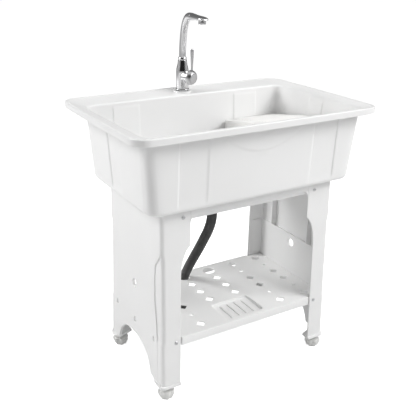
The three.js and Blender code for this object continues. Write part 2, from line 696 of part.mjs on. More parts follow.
// Region between the flanges' inner edges, drawn as (x, z): from the foot a slight taper, then a
// curve that ends in a square shoulder.
function flangeCut() {
  const shape = new THREE.Shape();
  const low = PANEL_BOTTOM_Z - 10;
  const rise = FLANGE_CURVE_TOP_Z - FLANGE_CURVE_BOTTOM_Z;
  const span = FLANGE_MID_EDGE_X - FLANGE_TOP_EDGE_X;
  shape.moveTo(0, low);
  shape.lineTo(FLANGE_FOOT_EDGE_X, low);
  shape.lineTo(FLANGE_MID_EDGE_X, FLANGE_CURVE_BOTTOM_Z);
  shape.bezierCurveTo(
    FLANGE_MID_EDGE_X,
    FLANGE_CURVE_BOTTOM_Z + rise * 0.55,
    FLANGE_TOP_EDGE_X + span * 0.5,
    FLANGE_CURVE_TOP_Z - rise * 0.09,
    FLANGE_TOP_EDGE_X,
    FLANGE_CURVE_TOP_Z,
  );
  shape.lineTo(0, FLANGE_CURVE_TOP_Z);
  return shape;
}

// Arched opening at the bottom of a panel, drawn as (y, z).
function archShape() {
  const centre = STAND_CENTRE_Y + ARCH_SHIFT;
  const points = [[centre + ARCH_HALF_WIDTH, -5]];
  const STEPS = 10;
  const power = (v) => Math.sign(v) * Math.abs(v) ** (2 / ARCH_POWER);
  for (let i = 0; i <= STEPS; i++) {
    const a = (Math.PI * i) / STEPS;
    const y = centre + ARCH_HALF_WIDTH * power(Math.cos(a));
    points.push([y, ARCH_HEIGHT * power(Math.sin(a))]);
  }
  points.push([centre - ARCH_HALF_WIDTH, -5]);
  return polygon(points);
}

// Outer field of a panel, proud of the leg columns: it narrows to a waist between them and
// takes the panel's whole width under the basin.
function outerField(side) {
  const corner = (z) => standHalfDepth(z) - PANEL_CORNER_RADIUS;
  const edge = COLUMN_WIDTHS.map(([share, width]) => {
    const z = share * FLANGE_CURVE_TOP_Z;
    return [standHalfDepth(z) - width, z];
  });
  edge.push([corner(FLANGE_CURVE_TOP_Z), FLANGE_CURVE_TOP_Z], [corner(PANEL_TOP_Z), PANEL_TOP_Z]);
  const outline = [...edge, ...edge.toReversed().map(([y, z]) => [-y, z])];
  const skin = (out) =>
    outline.map(
      ([y, z]) =>
        new THREE.Vector3(side * (standHalfLength(z) + out), STAND_CENTRE_Y + y, z),
    );
  const skins = [skin(-COLUMN_RECESS - SIDE_WALL / 2), skin(0)];
  return loft(side > 0 ? skins : skins.toReversed(), ["y", "z"]);
}

// Pocket in the inner side above the ledge, so that the field's wall is as thin as the columns'.
function innerPocket(side) {
  const half = BRACE_HALF_Y + BRACE_THICKNESS;
  const outline = [
    [half, LINING_TOP_Z],
    [half, PANEL_TOP_Z - 2 * TOP_LIP_HEIGHT],
    [-half, PANEL_TOP_Z - 2 * TOP_LIP_HEIGHT],
    [-half, LINING_TOP_Z],
  ];
  const skin = (depth) =>
    outline.map(
      ([y, z]) =>
        new THREE.Vector3(side * (standHalfLength(z) - depth), STAND_CENTRE_Y + y, z),
    );
  const skins = [skin(LINING + 1), skin(SIDE_WALL)];
  return loft(side > 0 ? skins : skins.toReversed(), ["y", "z"]);
}

// Upright rib that stands out from the panel's inner side, drawn as (x, z), under the basin.
function brace(side, sy) {
  const inner = STAND_TOP_HALF_LENGTH - BRACE_DEPTH;
  const wall = (z) => standHalfLength(z) - SIDE_WALL / 2;
  const low = LINING_TOP_Z - 4;
  const outline = [
    [inner, low + BRACE_RISE],
    [wall(low), low],
    [wall(PANEL_TOP_Z), PANEL_TOP_Z],
    [inner, PANEL_TOP_Z],
  ].map(([x, z]) => [side * x, z]);
  const y = STAND_CENTRE_Y + sy * BRACE_HALF_Y;
  return alongY(
    polygon(side > 0 ? outline : outline.toReversed()),
    y - BRACE_THICKNESS / 2,
    y + BRACE_THICKNESS / 2,
  );
}

const footAxis = (sx, sy) => [
  sx * (STAND_FOOT_HALF_LENGTH - FOOT_INSET_X),
  STAND_CENTRE_Y + sy * (STAND_FOOT_HALF_DEPTH - FOOT_INSET_Y),
];

// Plate, boss and bore that take one levelling foot.
function footSocket(sx, sy) {
  const z = PANEL_BOTTOM_Z;
  const x = standHalfLength(z) - COLUMN_WALL + SIDE_WALL / 2;
  const y = standHalfDepth(z) - PANEL_WALL / 2;
  const edge = FLANGE_FOOT_EDGE_X + 2;
  const plan = polygon([
    [sx * x, STAND_CENTRE_Y + sy * y],
    [sx * edge, STAND_CENTRE_Y + sy * y],
    [sx * edge, STAND_CENTRE_Y + sy * (y - GUSSET_EDGE_DEPTH)],
    [sx * x, STAND_CENTRE_Y + sy * (y - GUSSET_SIDE_DEPTH)],
  ]);
  const [fx, fy] = footAxis(sx, sy);
  const boss = rod(FOOT_BOSS_RADIUS, z, z + FOOT_BOSS_HEIGHT, 12).translate([fx, fy, 0]);
  return alongZ(plan, z, z + GUSSET_THICKNESS).add(boss);
}

const footBore = (sx, sy) => {
  const [fx, fy] = footAxis(sx, sy);
  const top = FOOT_HEIGHT + FOOT_STUD_LENGTH + 2;
  return rod(FOOT_STUD_RADIUS + STUD_CLEARANCE, 0, top, 12).translate([fx, fy, 0]);
};

const slotCentres = [-1, 0, 1].map((i) => STAND_CENTRE_Y + i * SLOT_PITCH);
const SLOT_Z = SHELF_TOP_Z - SHELF_SKIRT / 2;

// Slanted cut under a leg's side wall, from the arch up to the corner, drawn as (y, z).
function legChamfer(side, sy) {
  const arch = STAND_CENTRE_Y + ARCH_SHIFT + sy * ARCH_HALF_WIDTH * 0.94;
  const corner = STAND_CENTRE_Y + sy * (STAND_FOOT_HALF_DEPTH - PANEL_CORNER_RADIUS);
  const outline = [
    [arch, PANEL_BOTTOM_Z + LEG_CHAMFER_HEIGHT],
    [arch, PANEL_BOTTOM_Z - 5],
    [corner, PANEL_BOTTOM_Z - 5],
    [corner, PANEL_BOTTOM_Z],
  ];
  const xs = [side * (STAND_FOOT_HALF_LENGTH - LINING - 1), side * (STAND_FOOT_HALF_LENGTH + 10)];
  return alongX(
    polygon(sy < 0 ? outline.toReversed() : outline),
    Math.min(...xs),
    Math.max(...xs),
  );
}

function makePanel(side) {
  const lipTop = PANEL_BOTTOM_Z + BOTTOM_LIP_HEIGHT;
  const levels = [
    [PANEL_BOTTOM_Z, BOTTOM_LIP - 1, BOTTOM_LIP - 1],
    [PANEL_BOTTOM_Z + 1.5, BOTTOM_LIP, BOTTOM_LIP],
    [lipTop - 1.5, BOTTOM_LIP, BOTTOM_LIP],
    [lipTop, -COLUMN_LOW_RECESS, 0],
    [COLUMN_RECESS_LOW_Z, -COLUMN_LOW_RECESS, 0],
    [COLUMN_RECESS_LOW_Z + 8, -COLUMN_RECESS, 0],
    [COLUMN_RECESS_TOP_Z, -COLUMN_RECESS, 0],
    [COLUMN_RECESS_TOP_Z + 16, 0, 0],
    [PANEL_TOP_Z - TOP_LIP_HEIGHT - 1, 0, 0],
    [PANEL_TOP_Z - TOP_LIP_HEIGHT, TOP_LIP, TOP_LIP],
    [PANEL_TOP_Z, TOP_LIP, TOP_LIP],
  ].map(([z, growX, growY]) => panelLevel(side, z, growX, growY));
  const inset = PANEL_WALL / 2;
  const liningEdge = FLANGE_MID_EDGE_X + LINING_EDGE;
  const lining = loft(
    [lipTop, LINING_TOP_Z].map((z) =>
      panelLevel(side, z, -COLUMN_RECESS - SIDE_WALL / 2, -inset, LINING, LINING, liningEdge),
    ),
  );
  let panel = loft(levels).add(outerField(side)).add(lining).subtract(innerPocket(side));
  for (const sy of [-1, 1]) {
    panel = panel.add(brace(side, sy));
    panel = panel.add(footSocket(side, sy)).subtract(footBore(side, sy));
    panel = panel.subtract(legChamfer(side, sy));
  }
  const far = side * (STAND_FOOT_HALF_LENGTH + 20);
  const near = side * (STAND_TOP_HALF_LENGTH - BRACE_DEPTH);
  const [x0, x1] = [Math.min(far, near), Math.max(far, near)];
  panel = panel.subtract(alongX(archShape(), x0, x1));
  const opening = new THREE.Shape();
  opening.absarc(STAND_CENTRE_Y, PANEL_HOLE_Z, PANEL_HOLE_RADIUS, 0, Math.PI * 2);
  panel = panel.subtract(alongX(opening, x0, x1, 8));
  for (const y of slotCentres) {
    const half = SLOT_LENGTH / 2;
    const slot = box(x0, x1, y - half, y + half, SLOT_Z - SLOT_HEIGHT / 2, SLOT_Z + SLOT_HEIGHT / 2);
    panel = panel.subtract(slot);
  }
  const mirrored = side > 0 ? flangeCut() : polygon(flangeCut().getPoints(8).map((p) => [-p.x, p.y]));
  panel = panel.subtract(alongY(mirrored, -RIM_DEPTH, RIM_DEPTH, 8));
  for (const sy of [-1, 1]) {
    for (const place of panelScrews(side, sy)) panel = panel.subtract(screwHole(place, sy));
  }
  return panel;
}

// ---------- screws ----------
const SHELF_SCREW_Z = SHELF_TOP_Z - SHELF_SCREW_DROP;
const RAIL_SCREW_Z = RAIL_BOTTOM_Z;

// Places on the outer face of a front or back flange: one for the rail and one for the shelf.
function panelScrews(side, sy) {
  return [
    [RAIL_SCREW_X, RAIL_SCREW_Z],
    [SHELF_SCREW_X, SHELF_SCREW_Z],
  ].map(([x, z]) => [side * x, STAND_CENTRE_Y + sy * standHalfDepth(z), z]);
}

// A rod from a flange's outer face inwards along Y.
function inwards([x, y, z], sy, radius, from, to) {
  return rod(radius, from, to, 8)
    .rotate([sy * 90, 0, 0])
    .translate([x, y, z]);
}

const screwHole = (place, sy) =>
  inwards(place, sy, SCREW_SHANK_RADIUS + SCREW_HOLE_CLEARANCE, -10, SCREW_LENGTH + 2);

function makeScrew() {
  const head = [
    [0, -SCREW_HEAD_HEIGHT - CLEARANCE],
    [SCREW_HEAD_RADIUS * 0.6, -SCREW_HEAD_HEIGHT - CLEARANCE],
    [SCREW_HEAD_RADIUS, -CLEARANCE],
    [SCREW_SHANK_RADIUS, -CLEARANCE],
    [SCREW_SHANK_RADIUS, SCREW_LENGTH],
    [0, SCREW_LENGTH],
  ];
  const cross = SCREW_HEAD_RADIUS * 0.5;
  const depth = [-SCREW_HEAD_HEIGHT - 1, -SCREW_HEAD_HEIGHT + 0.6];
  return lathe(head, 12)
    .subtract(box(-cross, cross, -0.6, 0.6, ...depth))
    .subtract(box(-0.6, 0.6, -cross, cross, ...depth));
}

// ---------- rails ----------
function makeRail(sy) {
  const topZ = PANEL_TOP_Z;
  const edge = FLANGE_TOP_EDGE_X - CLEARANCE;
  const r = RAIL_END_RADIUS;
  // face drawn as (x, z), with a rounded drop at each end
  const face = new THREE.Shape();
  face.moveTo(-edge, RAIL_BOTTOM_Z - r);
  face.absarc(-edge + r, RAIL_BOTTOM_Z - r, r, Math.PI, Math.PI / 2, true);
  face.lineTo(edge - r, RAIL_BOTTOM_Z);
  face.absarc(edge - r, RAIL_BOTTOM_Z - r, r, Math.PI / 2, 0, true);
  face.lineTo(edge, topZ);
  face.lineTo(-edge, topZ);
  const outY = standHalfDepth(RAIL_BOTTOM_Z);
  const band = (a, b) => [
    STAND_CENTRE_Y + Math.min(sy * a, sy * b),
    STAND_CENTRE_Y + Math.max(sy * a, sy * b),
  ];
  const behind = standHalfDepth(RAIL_BOTTOM_Z + r) - PANEL_WALL - CLEARANCE - 0.6;
  let rail = alongY(face, ...band(outY, outY - RAIL_WALL - 2), 6);
  const tongue = edge + RAIL_TONGUE;
  rail = rail.add(
    box(-tongue, tongue, ...band(behind, behind - RAIL_WALL), RAIL_BOTTOM_Z - 12, topZ),
  );
  rail = rail.add(
    box(-edge, edge, ...band(behind, behind - RAIL_SHELF), topZ - PANEL_WALL, topZ),
  );
  for (const side of [-1, 1]) rail = rail.subtract(screwHole(panelScrews(side, sy)[0], sy));
  return rail;
}

// ---------- shelf ----------
const SHELF_HALF_X = standHalfLength(SHELF_TOP_Z) - LINING - CLEARANCE;
const SHELF_HALF_Y = standHalfDepth(SHELF_TOP_Z) - LINING - CLEARANCE;
const SHELF_PITCH_X = (SHELF_HALF_X - SHELF_HOLE_MARGIN_X) / 2.5;
const SHELF_PITCH_Y = (SHELF_HALF_Y - SHELF_HOLE_MARGIN_Y) / 2.5;
const TRAY_FRONT = -SHELF_HALF_Y + TRAY_MARGIN; // from the middle of the stand
const TRAY_BACK = TRAY_FRONT + TRAY_WIDTH;

function shelfHoles() {
  const holes = [];
  const columns = [-2.5, -1.5, -0.5, 0.5, 1.5, 2.5];
  const rows = [-2.5, -1.5, -0.5, 0.5, 1.5, 2.5];
  for (const row of rows) {
    for (const column of columns) {
      const x = column * SHELF_PITCH_X;
      const y = STAND_CENTRE_Y + row * SHELF_PITCH_Y;
      const overTray = Math.abs(x) < TRAY_HALF_LENGTH && row < -1;
      if (overTray) continue;
      const forHose = row === 2.5 && Math.abs(column) === 0.5;
      const small = Math.abs(row) === 1.5 && Math.abs(column) > 1;
      const radius = forHose ? HOSE_HOLE_RADIUS : small ? SHELF_SMALL_HOLE : SHELF_HOLE;
      const sides = forHose ? 16 : 4;
      const cutter = rod(radius, SHELF_TOP_Z - SHELF_PLATE - 2, SHELF_TOP_Z + 2, sides);
      holes.push(cutter.translate([x, y, 0]));
    }
  }
  return holes;
}

function makeShelf() {
  const z0 = SHELF_TOP_Z - SHELF_SKIRT;
  const outline = (inset) =>
    roundedRectangle(
      SHELF_HALF_X - inset,
      SHELF_HALF_Y - inset,
      SHELF_CORNER_RADIUS,
      0,
      STAND_CENTRE_Y,
    );
  let shelf = alongZ(outline(0), z0, SHELF_TOP_Z, 3).subtract(
    alongZ(outline(SHELF_PLATE), z0 - 1, SHELF_TOP_Z - SHELF_PLATE, 3),
  );
  // the front and back skirts come forward between the flanges, flush with them
  const flush = standHalfDepth(SHELF_TOP_Z);
  const reach = FLANGE_MID_EDGE_X - 1;
  for (const sy of [-1, 1]) {
    const [a, b] = [sy * (SHELF_HALF_Y - SHELF_PLATE / 2), sy * flush];
    const lip = box(
      -reach,
      reach,
      STAND_CENTRE_Y + Math.min(a, b),
      STAND_CENTRE_Y + Math.max(a, b),
      z0,
      SHELF_TOP_Z,
    );
    shelf = shelf.add(lip);
  }
  // ribbed tray near the front
  const tray = (inset, low, high) =>
    alongZ(
      roundedRectangle(
        TRAY_HALF_LENGTH - inset,
        (TRAY_BACK - TRAY_FRONT) / 2 - inset,
        10,
        0,
        STAND_CENTRE_Y + (TRAY_BACK + TRAY_FRONT) / 2,
      ),
      low,
      high,
      3,
    );
  const trayFloor = SHELF_TOP_Z - TRAY_DEPTH;
  shelf = shelf
    .add(tray(-SHELF_PLATE, trayFloor - SHELF_PLATE, SHELF_TOP_Z - SHELF_PLATE / 2))
    .subtract(tray(0, trayFloor, SHELF_TOP_Z + 1));
  const ribPitch = (2 * TRAY_HALF_LENGTH) / (TRAY_RIBS + 1);
  for (let i = 1; i <= TRAY_RIBS; i++) {
    const x = -TRAY_HALF_LENGTH + i * ribPitch;
    shelf = shelf.add(
      box(
        x - 2,
        x + 2,
        STAND_CENTRE_Y + TRAY_FRONT + 12,
        STAND_CENTRE_Y + TRAY_BACK - 12,
        trayFloor - 1,
        trayFloor + 4,
      ),
    );
  }
  for (const hole of shelfHoles()) shelf = shelf.subtract(hole);
  // tabs that hook into the panels' slots
  const tabReach = standHalfLength(SLOT_Z) - TAB_RECESS;
  for (const side of [-1, 1]) {
    for (const y of slotCentres) {
      const xs = [side * (SHELF_HALF_X - SHELF_PLATE / 2), side * tabReach];
      const half = SLOT_LENGTH / 2 - CLEARANCE * 2;
      const high = SLOT_HEIGHT / 2 - CLEARANCE * 2;
      shelf = shelf.add(
        box(Math.min(...xs), Math.max(...xs), y - half, y + half, SLOT_Z - high, SLOT_Z + high),
      );
    }
    for (const sy of [-1, 1]) shelf = shelf.subtract(screwHole(panelScrews(side, sy)[1], sy));
  }
  return shelf;
}

// ---------- levelling feet ----------
function makeFoot() {
  const STEPS_PER_LOBE = 4;
  const steps = FOOT_LOBES * STEPS_PER_LOBE;
  // lobed knob that narrows to the floor, as levels of [height, radius]
  const level = (z, radius) =>
    Array.from({ length: steps }, (_, i) => {
      const a = (2 * Math.PI * i) / steps;
      const scallop = (0.5 - 0.5 * Math.cos(FOOT_LOBES * a)) ** 2;
      const r = radius * (1 - (FOOT_LOBE_DEPTH / FOOT_RADIUS) * scallop);
      return new THREE.Vector3(r * Math.cos(a), r * Math.sin(a), z);
    });
  const knob = loft([
    level(0, FOOT_BASE_RADIUS),
    level(FOOT_HEIGHT * 0.7, FOOT_RADIUS),
    level(FOOT_HEIGHT, FOOT_RADIUS - 1.5),
  ]);
  const collar = FOOT_STUD_RADIUS + 4;
  const stop = PANEL_BOTTOM_Z - CLEARANCE;
  const stud = lathe([
    [0, FOOT_HEIGHT - 1],
    [collar, FOOT_HEIGHT - 1],
    [collar, stop],
    [FOOT_STUD_RADIUS, stop],
    [FOOT_STUD_RADIUS, FOOT_HEIGHT + FOOT_STUD_LENGTH],
    [0, FOOT_HEIGHT + FOOT_STUD_LENGTH],
  ], 12);
  return knob.add(stud);
}

// ---------- drain ----------
// Each piece is drawn about the drain's axis, at its real height.
const DRAIN_TUBE_RADIUS = DRAIN_THROAT_RADIUS + DRAIN_TUBE_WALL;
const DRAIN_TUBE_END_Z = FLOOR_Z - DRAIN_TUBE_LENGTH;
const DRAIN_GASKET_Z = BOWL_BASE_Z - CLEARANCE;
const DRAIN_NUT_Z = DRAIN_GASKET_Z - DRAIN_GASKET_THICKNESS - CLEARANCE;
const TAILPIECE_TOP_Z = DRAIN_TUBE_END_Z - CLEARANCE;
const TAILPIECE_END_Z = TAILPIECE_TOP_Z - TAILPIECE_HEIGHT;
const COUPLING_END_Z = TAILPIECE_END_Z - CLEARANCE - COUPLING_HEIGHT;
const STRAINER_SEAT_RADIUS = DRAIN_THROAT_RADIUS + 6;

function drainFlange() {
  const top = FLOOR_Z + CLEARANCE + DRAIN_FLANGE_THICKNESS;
  const seatZ = top - 1.2;
  return lathe([
    [DRAIN_THROAT_RADIUS, DRAIN_TUBE_END_Z],
    [DRAIN_TUBE_RADIUS, DRAIN_TUBE_END_Z],
    [DRAIN_TUBE_RADIUS, FLOOR_Z + CLEARANCE],
    [DRAIN_FLANGE_RADIUS, FLOOR_Z + CLEARANCE],
    [DRAIN_FLANGE_RADIUS - 2, top],
    [STRAINER_SEAT_RADIUS, top],
    [STRAINER_SEAT_RADIUS, seatZ],
    [DRAIN_THROAT_RADIUS, seatZ],
    [DRAIN_THROAT_RADIUS, DRAIN_TUBE_END_Z],
  ]);
}

function drainNut() {
  const low = DRAIN_NUT_Z - DRAIN_NUT_HEIGHT;
  let nut = ring(DRAIN_NUT_RADIUS, DRAIN_TUBE_RADIUS + CLEARANCE, low, DRAIN_NUT_Z);
  for (let i = 0; i < 6; i++) {
    const lug = box(DRAIN_NUT_RADIUS - 2, DRAIN_NUT_RADIUS + 4, -4, 4, low, DRAIN_NUT_Z - 2);
    nut = nut.add(lug.rotate([0, 0, i * 60]));
  }
  return nut;
}

function strainerBasket() {
  const rimZ = FLOOR_Z + CLEARANCE + DRAIN_FLANGE_THICKNESS - 1.2 + CLEARANCE;
  const cup = DRAIN_THROAT_RADIUS - 1.5;
  const low = rimZ - STRAINER_DEPTH;
  const sheet = 1.2;
  let basket = lathe([
    [0, low],
    [cup - 3, low],
    [cup, low + 4],
    [cup, rimZ],
    [STRAINER_SEAT_RADIUS - 1, rimZ],
    [STRAINER_SEAT_RADIUS - 1, rimZ + sheet],
    [cup - sheet, rimZ + sheet],
    [cup - sheet, low + 4.5],
    [cup - 3.6, low + sheet],
    [3, low + sheet],
    [3, rimZ - 2],
    [6, rimZ + 1],
    [6, rimZ + 4],
    [0, rimZ + 5],
  ], 16);
  for (let i = 0; i < STRAINER_HOLES; i++) {
    const hole = rod(2.6, low - 2, low + 4, 6).translate([12, 0, 0]);
    basket = basket.subtract(hole.rotate([0, 0, (360 * i) / STRAINER_HOLES]));
  }
  return basket;
}

function tailpiece() {
  const outer = DRAIN_TUBE_RADIUS + 3;
  const bore = HOSE_DIAMETER / 2 - 4;
  const neck = bore + 3;
  return lathe([
    [bore, TAILPIECE_END_Z],
    [neck, TAILPIECE_END_Z],
    [neck, TAILPIECE_END_Z + 5],
    [outer, TAILPIECE_TOP_Z - 8],
    [outer, TAILPIECE_TOP_Z],
    [DRAIN_TUBE_RADIUS - 3, TAILPIECE_TOP_Z],
    [DRAIN_TUBE_RADIUS - 3, TAILPIECE_TOP_Z - 5],
    [bore, TAILPIECE_END_Z + 5],
    [bore, TAILPIECE_END_Z],
  ]);
}

function coupling() {
  const top = TAILPIECE_END_Z - CLEARANCE;
  const bore = HOSE_DIAMETER / 2 - 4;
  let body = ring(COUPLING_RADIUS, bore, COUPLING_END_Z, top);
  const GRIPS = 8;
  for (let i = 0; i < GRIPS; i++) {
    const grip = box(COUPLING_RADIUS - 1, COUPLING_RADIUS + 1.4, -2, 2, COUPLING_END_Z + 2, top - 2);
    body = body.add(grip.rotate([0, 0, (360 * i) / GRIPS]));
  }
  return body;
}

// ---------- hose ----------
// Route of the hose's middle line, chosen by hand: down from the drain, back and slightly left,
// through the round hole in the shelf and down to just above the floor. Each bend is given as
// shares of the way from the drain to the shelf's hole, across and back, and of the height from
// the shelf's top to the coupling; the second list's heights are shares of the shelf's height.
const HOSE_TOP_Z = COUPLING_END_Z - CLEARANCE;
const HOSE_ABOVE_SHELF = [
  [0, 0, 1],
  [0, 0, 0.88],
  [0.05, 0.025, 0.79],
  [0.2, 0.1, 0.69],
  [0.4, 0.22, 0.585],
  [0.6, 0.37, 0.465],
  [0.8, 0.54, 0.34],
  [0.92, 0.71, 0.222],
  [0.97, 0.85, 0.124],
  [0.99, 0.94, 0.052],
];
const HOSE_BELOW_SHELF = [
  [1, 0.99, 0.98],
  [1.02, 1.02, 0.86],
  [1.06, 1.025, 0.7],
  [1.1, 1.025, 0.55],
  [1.1, 1.025, 0.4],
  [1.1, 1.025, 0.23],
];
const hoseBend = (across, back, z) => [
  mix(DRAIN_X, -SHELF_PITCH_X / 2, across),
  mix(DRAIN_Y, STAND_CENTRE_Y + SHELF_PITCH_Y * 2.5, back),
  z,
];
const HOSE_ROUTE = [
  ...HOSE_ABOVE_SHELF.map(([x, y, z]) => hoseBend(x, y, mix(SHELF_TOP_Z, HOSE_TOP_Z, z))),
  ...HOSE_BELOW_SHELF.map(([x, y, z]) => hoseBend(x, y, SHELF_TOP_Z * z)),
];

function hoseCurve() {
  const points = HOSE_ROUTE.map((p) => new THREE.Vector3(...p));
  return new THREE.CatmullRomCurve3(points, false, "centripetal");
}

// Corrugated tube: a ring on each crest and each valley, and a smooth bore.
function makeHose() {
  const curve = hoseCurve();
  const length = curve.getLength();
  const ribs = Math.round(length / HOSE_RIB_PITCH);
  const SIDES = 8;
  const ringAt = (t, radius) => {
    const centre = curve.getPointAt(t);
    const along = curve.getTangentAt(t);
    const across = new THREE.Vector3(1, 0, 0);
    across.addScaledVector(along, -across.dot(along)).normalize();
    const up = new THREE.Vector3().crossVectors(along, across);
    return Array.from({ length: SIDES }, (_, i) => {
      const a = (2 * Math.PI * (i + 0.5)) / SIDES;
      return centre
        .clone()
        .addScaledVector(across, radius * Math.cos(a))
        .addScaledVector(up, radius * Math.sin(a));
    });
  };
  // the eight-sided rings are widened so that their mean radius is the hose's own
  const widen = 1 / Math.cos(Math.PI / SIDES / 2);
  const crest = (HOSE_DIAMETER / 2) * widen;
  const valley = crest - HOSE_RIB_DEPTH;
  const bore = crest - HOSE_RIB_DEPTH - HOSE_WALL;
  const rings = [];
  for (let i = 0; i < ribs; i++) {
    rings.push(ringAt(i / ribs, i ? valley : crest));
    rings.push(ringAt((i + 0.5) / ribs, crest));
  }
  rings.push(ringAt(1, crest));
  const BORE_STEP = 5;
  const stations = [];
  for (let i = 0; i < ribs; i += BORE_STEP) stations.push(i / ribs);
  stations.push(1);
  for (const t of stations.toReversed()) rings.push(ringAt(t, bore));
  rings.push(rings[0]);
  const positions = rings.slice(0, -1).flat().flatMap((p) => [p.x, p.y, p.z]);
  const index = [];
  const loops = rings.length - 1;
  for (let k = 0; k < loops; k++) {
    for (let i = 0; i < SIDES; i++) {
      const j = (i + 1) % SIDES;
      const [a, b] = [k * SIDES + i, k * SIDES + j];
      const [c, d] = [((k + 1) % loops) * SIDES + i, ((k + 1) % loops) * SIDES + j];
      index.push(a, b, d, a, d, c);
    }
  }
  const geometry = new THREE.BufferGeometry();
  geometry.setAttribute("position", new THREE.Float32BufferAttribute(positions, 3));
  geometry.setIndex(index);
  geometry.computeVertexNormals();
  console.log(`hose: ${ribs} ribs, length ${length.toFixed(1)} mm`);
  return geometry;
}

// ---------- tap ----------
// Drawn about the tap's axis with z = 0 on the basin's seat. The cartridge axis is +X here, and
// the body group is turned so that it points to the front.
const towardsX = (body) => body.rotate([0, 90, 0]);
const BODY_BASE_Z = CLEARANCE * 3 + TAP_GASKET_THICKNESS + BASE_RING_HEIGHT;
const SPIGOT_RADIUS = 9;
const SPIGOT_DEPTH = 16;
const SPIGOT_CLEARANCE = 0.3;

const CARTRIDGE_SEAT = LEVER_PIVOT + BALL_FACE + 2 - CARTRIDGE_DEPTH;

function tapBody() {
  const socket = SPIGOT_RADIUS + SPIGOT_CLEARANCE;
  const column = lathe([
    [0, BODY_BASE_Z],
    [BODY_RADIUS, BODY_BASE_Z],
    [BODY_RADIUS, BODY_SHOULDER_Z],
    [BODY_RADIUS - 1.2, BODY_SHOULDER_Z + 8],
    [BODY_TOP_RADIUS + 1, BODY_TOP_Z - 12],
    [BODY_TOP_RADIUS, BODY_TOP_Z],
    [socket, BODY_TOP_Z],
    [socket, BODY_TOP_Z - SPIGOT_DEPTH],
    [0, BODY_TOP_Z - SPIGOT_DEPTH],
  ]);
  const housing = towardsX(rod(HOUSING_RADIUS, 0, LEVER_PIVOT, 18));
  const ball = solid(new THREE.SphereGeometry(BALL_RADIUS, 18, 10)).translate([LEVER_PIVOT, 0, 0]);
  const bore = towardsX(
    rod(CARTRIDGE_RADIUS + CLEARANCE, CARTRIDGE_SEAT, LEVER_PIVOT + 40),
  );
  const side = housing.add(ball).subtract(
    box(LEVER_PIVOT + BALL_FACE, LEVER_PIVOT + 40, -40, 40, -40, 40),
  );
  return column
    .add(side.translate([0, 0, LEVER_AXIS_Z]))
    .subtract(bore.translate([0, 0, LEVER_AXIS_Z]));
}

function cartridge() {
  const from = CARTRIDGE_SEAT + CLEARANCE;
  const face = LEVER_PIVOT + BALL_FACE - 1;
  const body = lathe([
    [0, from],
    [CARTRIDGE_RADIUS, from],
    [CARTRIDGE_RADIUS, face],
    [7, face],
    [7, face + 1.2],
    [0, face + 1.2],
  ], 16);
  return towardsX(body);
}

// Stem that turns in the cartridge. Its domed tip carries the cap, which tilts over it.
const CAP_FACE = Math.sqrt(CAP_RADIUS ** 2 - CAP_FACE_RADIUS ** 2);
const CAP_CHEEK = 3;
const STEM_RADIUS = 5;
function leverStem() {
  const from = BALL_FACE + 0.2 + CLEARANCE;
  const dome = CAP_FACE - CAP_CHEEK - CLEARANCE;
  const domeAt = (r) => [r, Math.sqrt(dome ** 2 - r ** 2)];
  const body = lathe([
    [0, from],
    [STEM_RADIUS, from],
    domeAt(STEM_RADIUS),
    domeAt(STEM_RADIUS * 0.6),
    domeAt(0),
  ], 16);
  return towardsX(body).translate([LEVER_PIVOT, 0, 0]);
}

function leverCap() {
  const outer = solid(new THREE.SphereGeometry(CAP_RADIUS, 22, 12));
  const inner = solid(new THREE.SphereGeometry(BALL_RADIUS + CAP_GAP, 18, 10));
  const inside = inner.subtract(box(CAP_FACE - CAP_CHEEK, 40, -40, 40, -40, 40));
  return outer
    .subtract(inside)
    .subtract(box(-40, 1, -40, 40, -40, 40))
    .subtract(box(CAP_FACE, 40, -40, 40, -40, 40));
}

const STICK_SEAT_X = 8; // forward of the pivot, on the cap's upper side
function leverStick() {
  const nearSide = STICK_SEAT_X - STICK_FOOT_RADIUS;
  const seat = Math.sqrt(CAP_RADIUS ** 2 - nearSide ** 2) + CLEARANCE;
  const top = seat + STICK_LENGTH;
  return lathe([
    [0, seat],
    [STICK_FOOT_RADIUS, seat],
    [STICK_FOOT_RADIUS, seat + 14],
    [STICK_TOP_RADIUS - 1, seat + 30],
    [STICK_TOP_RADIUS, top - 12],
    [STICK_TOP_RADIUS, top - 3],
    [STICK_TOP_RADIUS - 2, top],
    [0, top],
  ], 16);
}

const HEAD_SHARE = 60 / 118; // of the reach, from the pipe's end to the outlet
const HEAD_START_Y = -SPOUT_REACH * (1 - HEAD_SHARE);
const SPOUT_RISE = SPOUT_TOP_Z - BODY_TOP_Z;
// the pipe's bends, as shares of the way forward to the head and of the rise
const SPOUT_BENDS = [
  [0.009, 0.219],
  [0.069, 0.4526],
  [0.1638, 0.6715],
  [0.3276, 0.854],
  [0.6207, 0.9854],
];

function spoutPath() {
  return new THREE.CatmullRomCurve3(
    [
      [0, 0, BODY_TOP_Z + CLEARANCE + COLLAR_HEIGHT / 2],
      ...SPOUT_BENDS.map(([y, z]) => [0, HEAD_START_Y * y, BODY_TOP_Z + SPOUT_RISE * z]),
      [0, HEAD_START_Y, SPOUT_TOP_Z],
      [0, HEAD_START_Y - 4, SPOUT_TOP_Z],
    ].map((p) => new THREE.Vector3(...p)),
    false,
    "centripetal",
  );
}

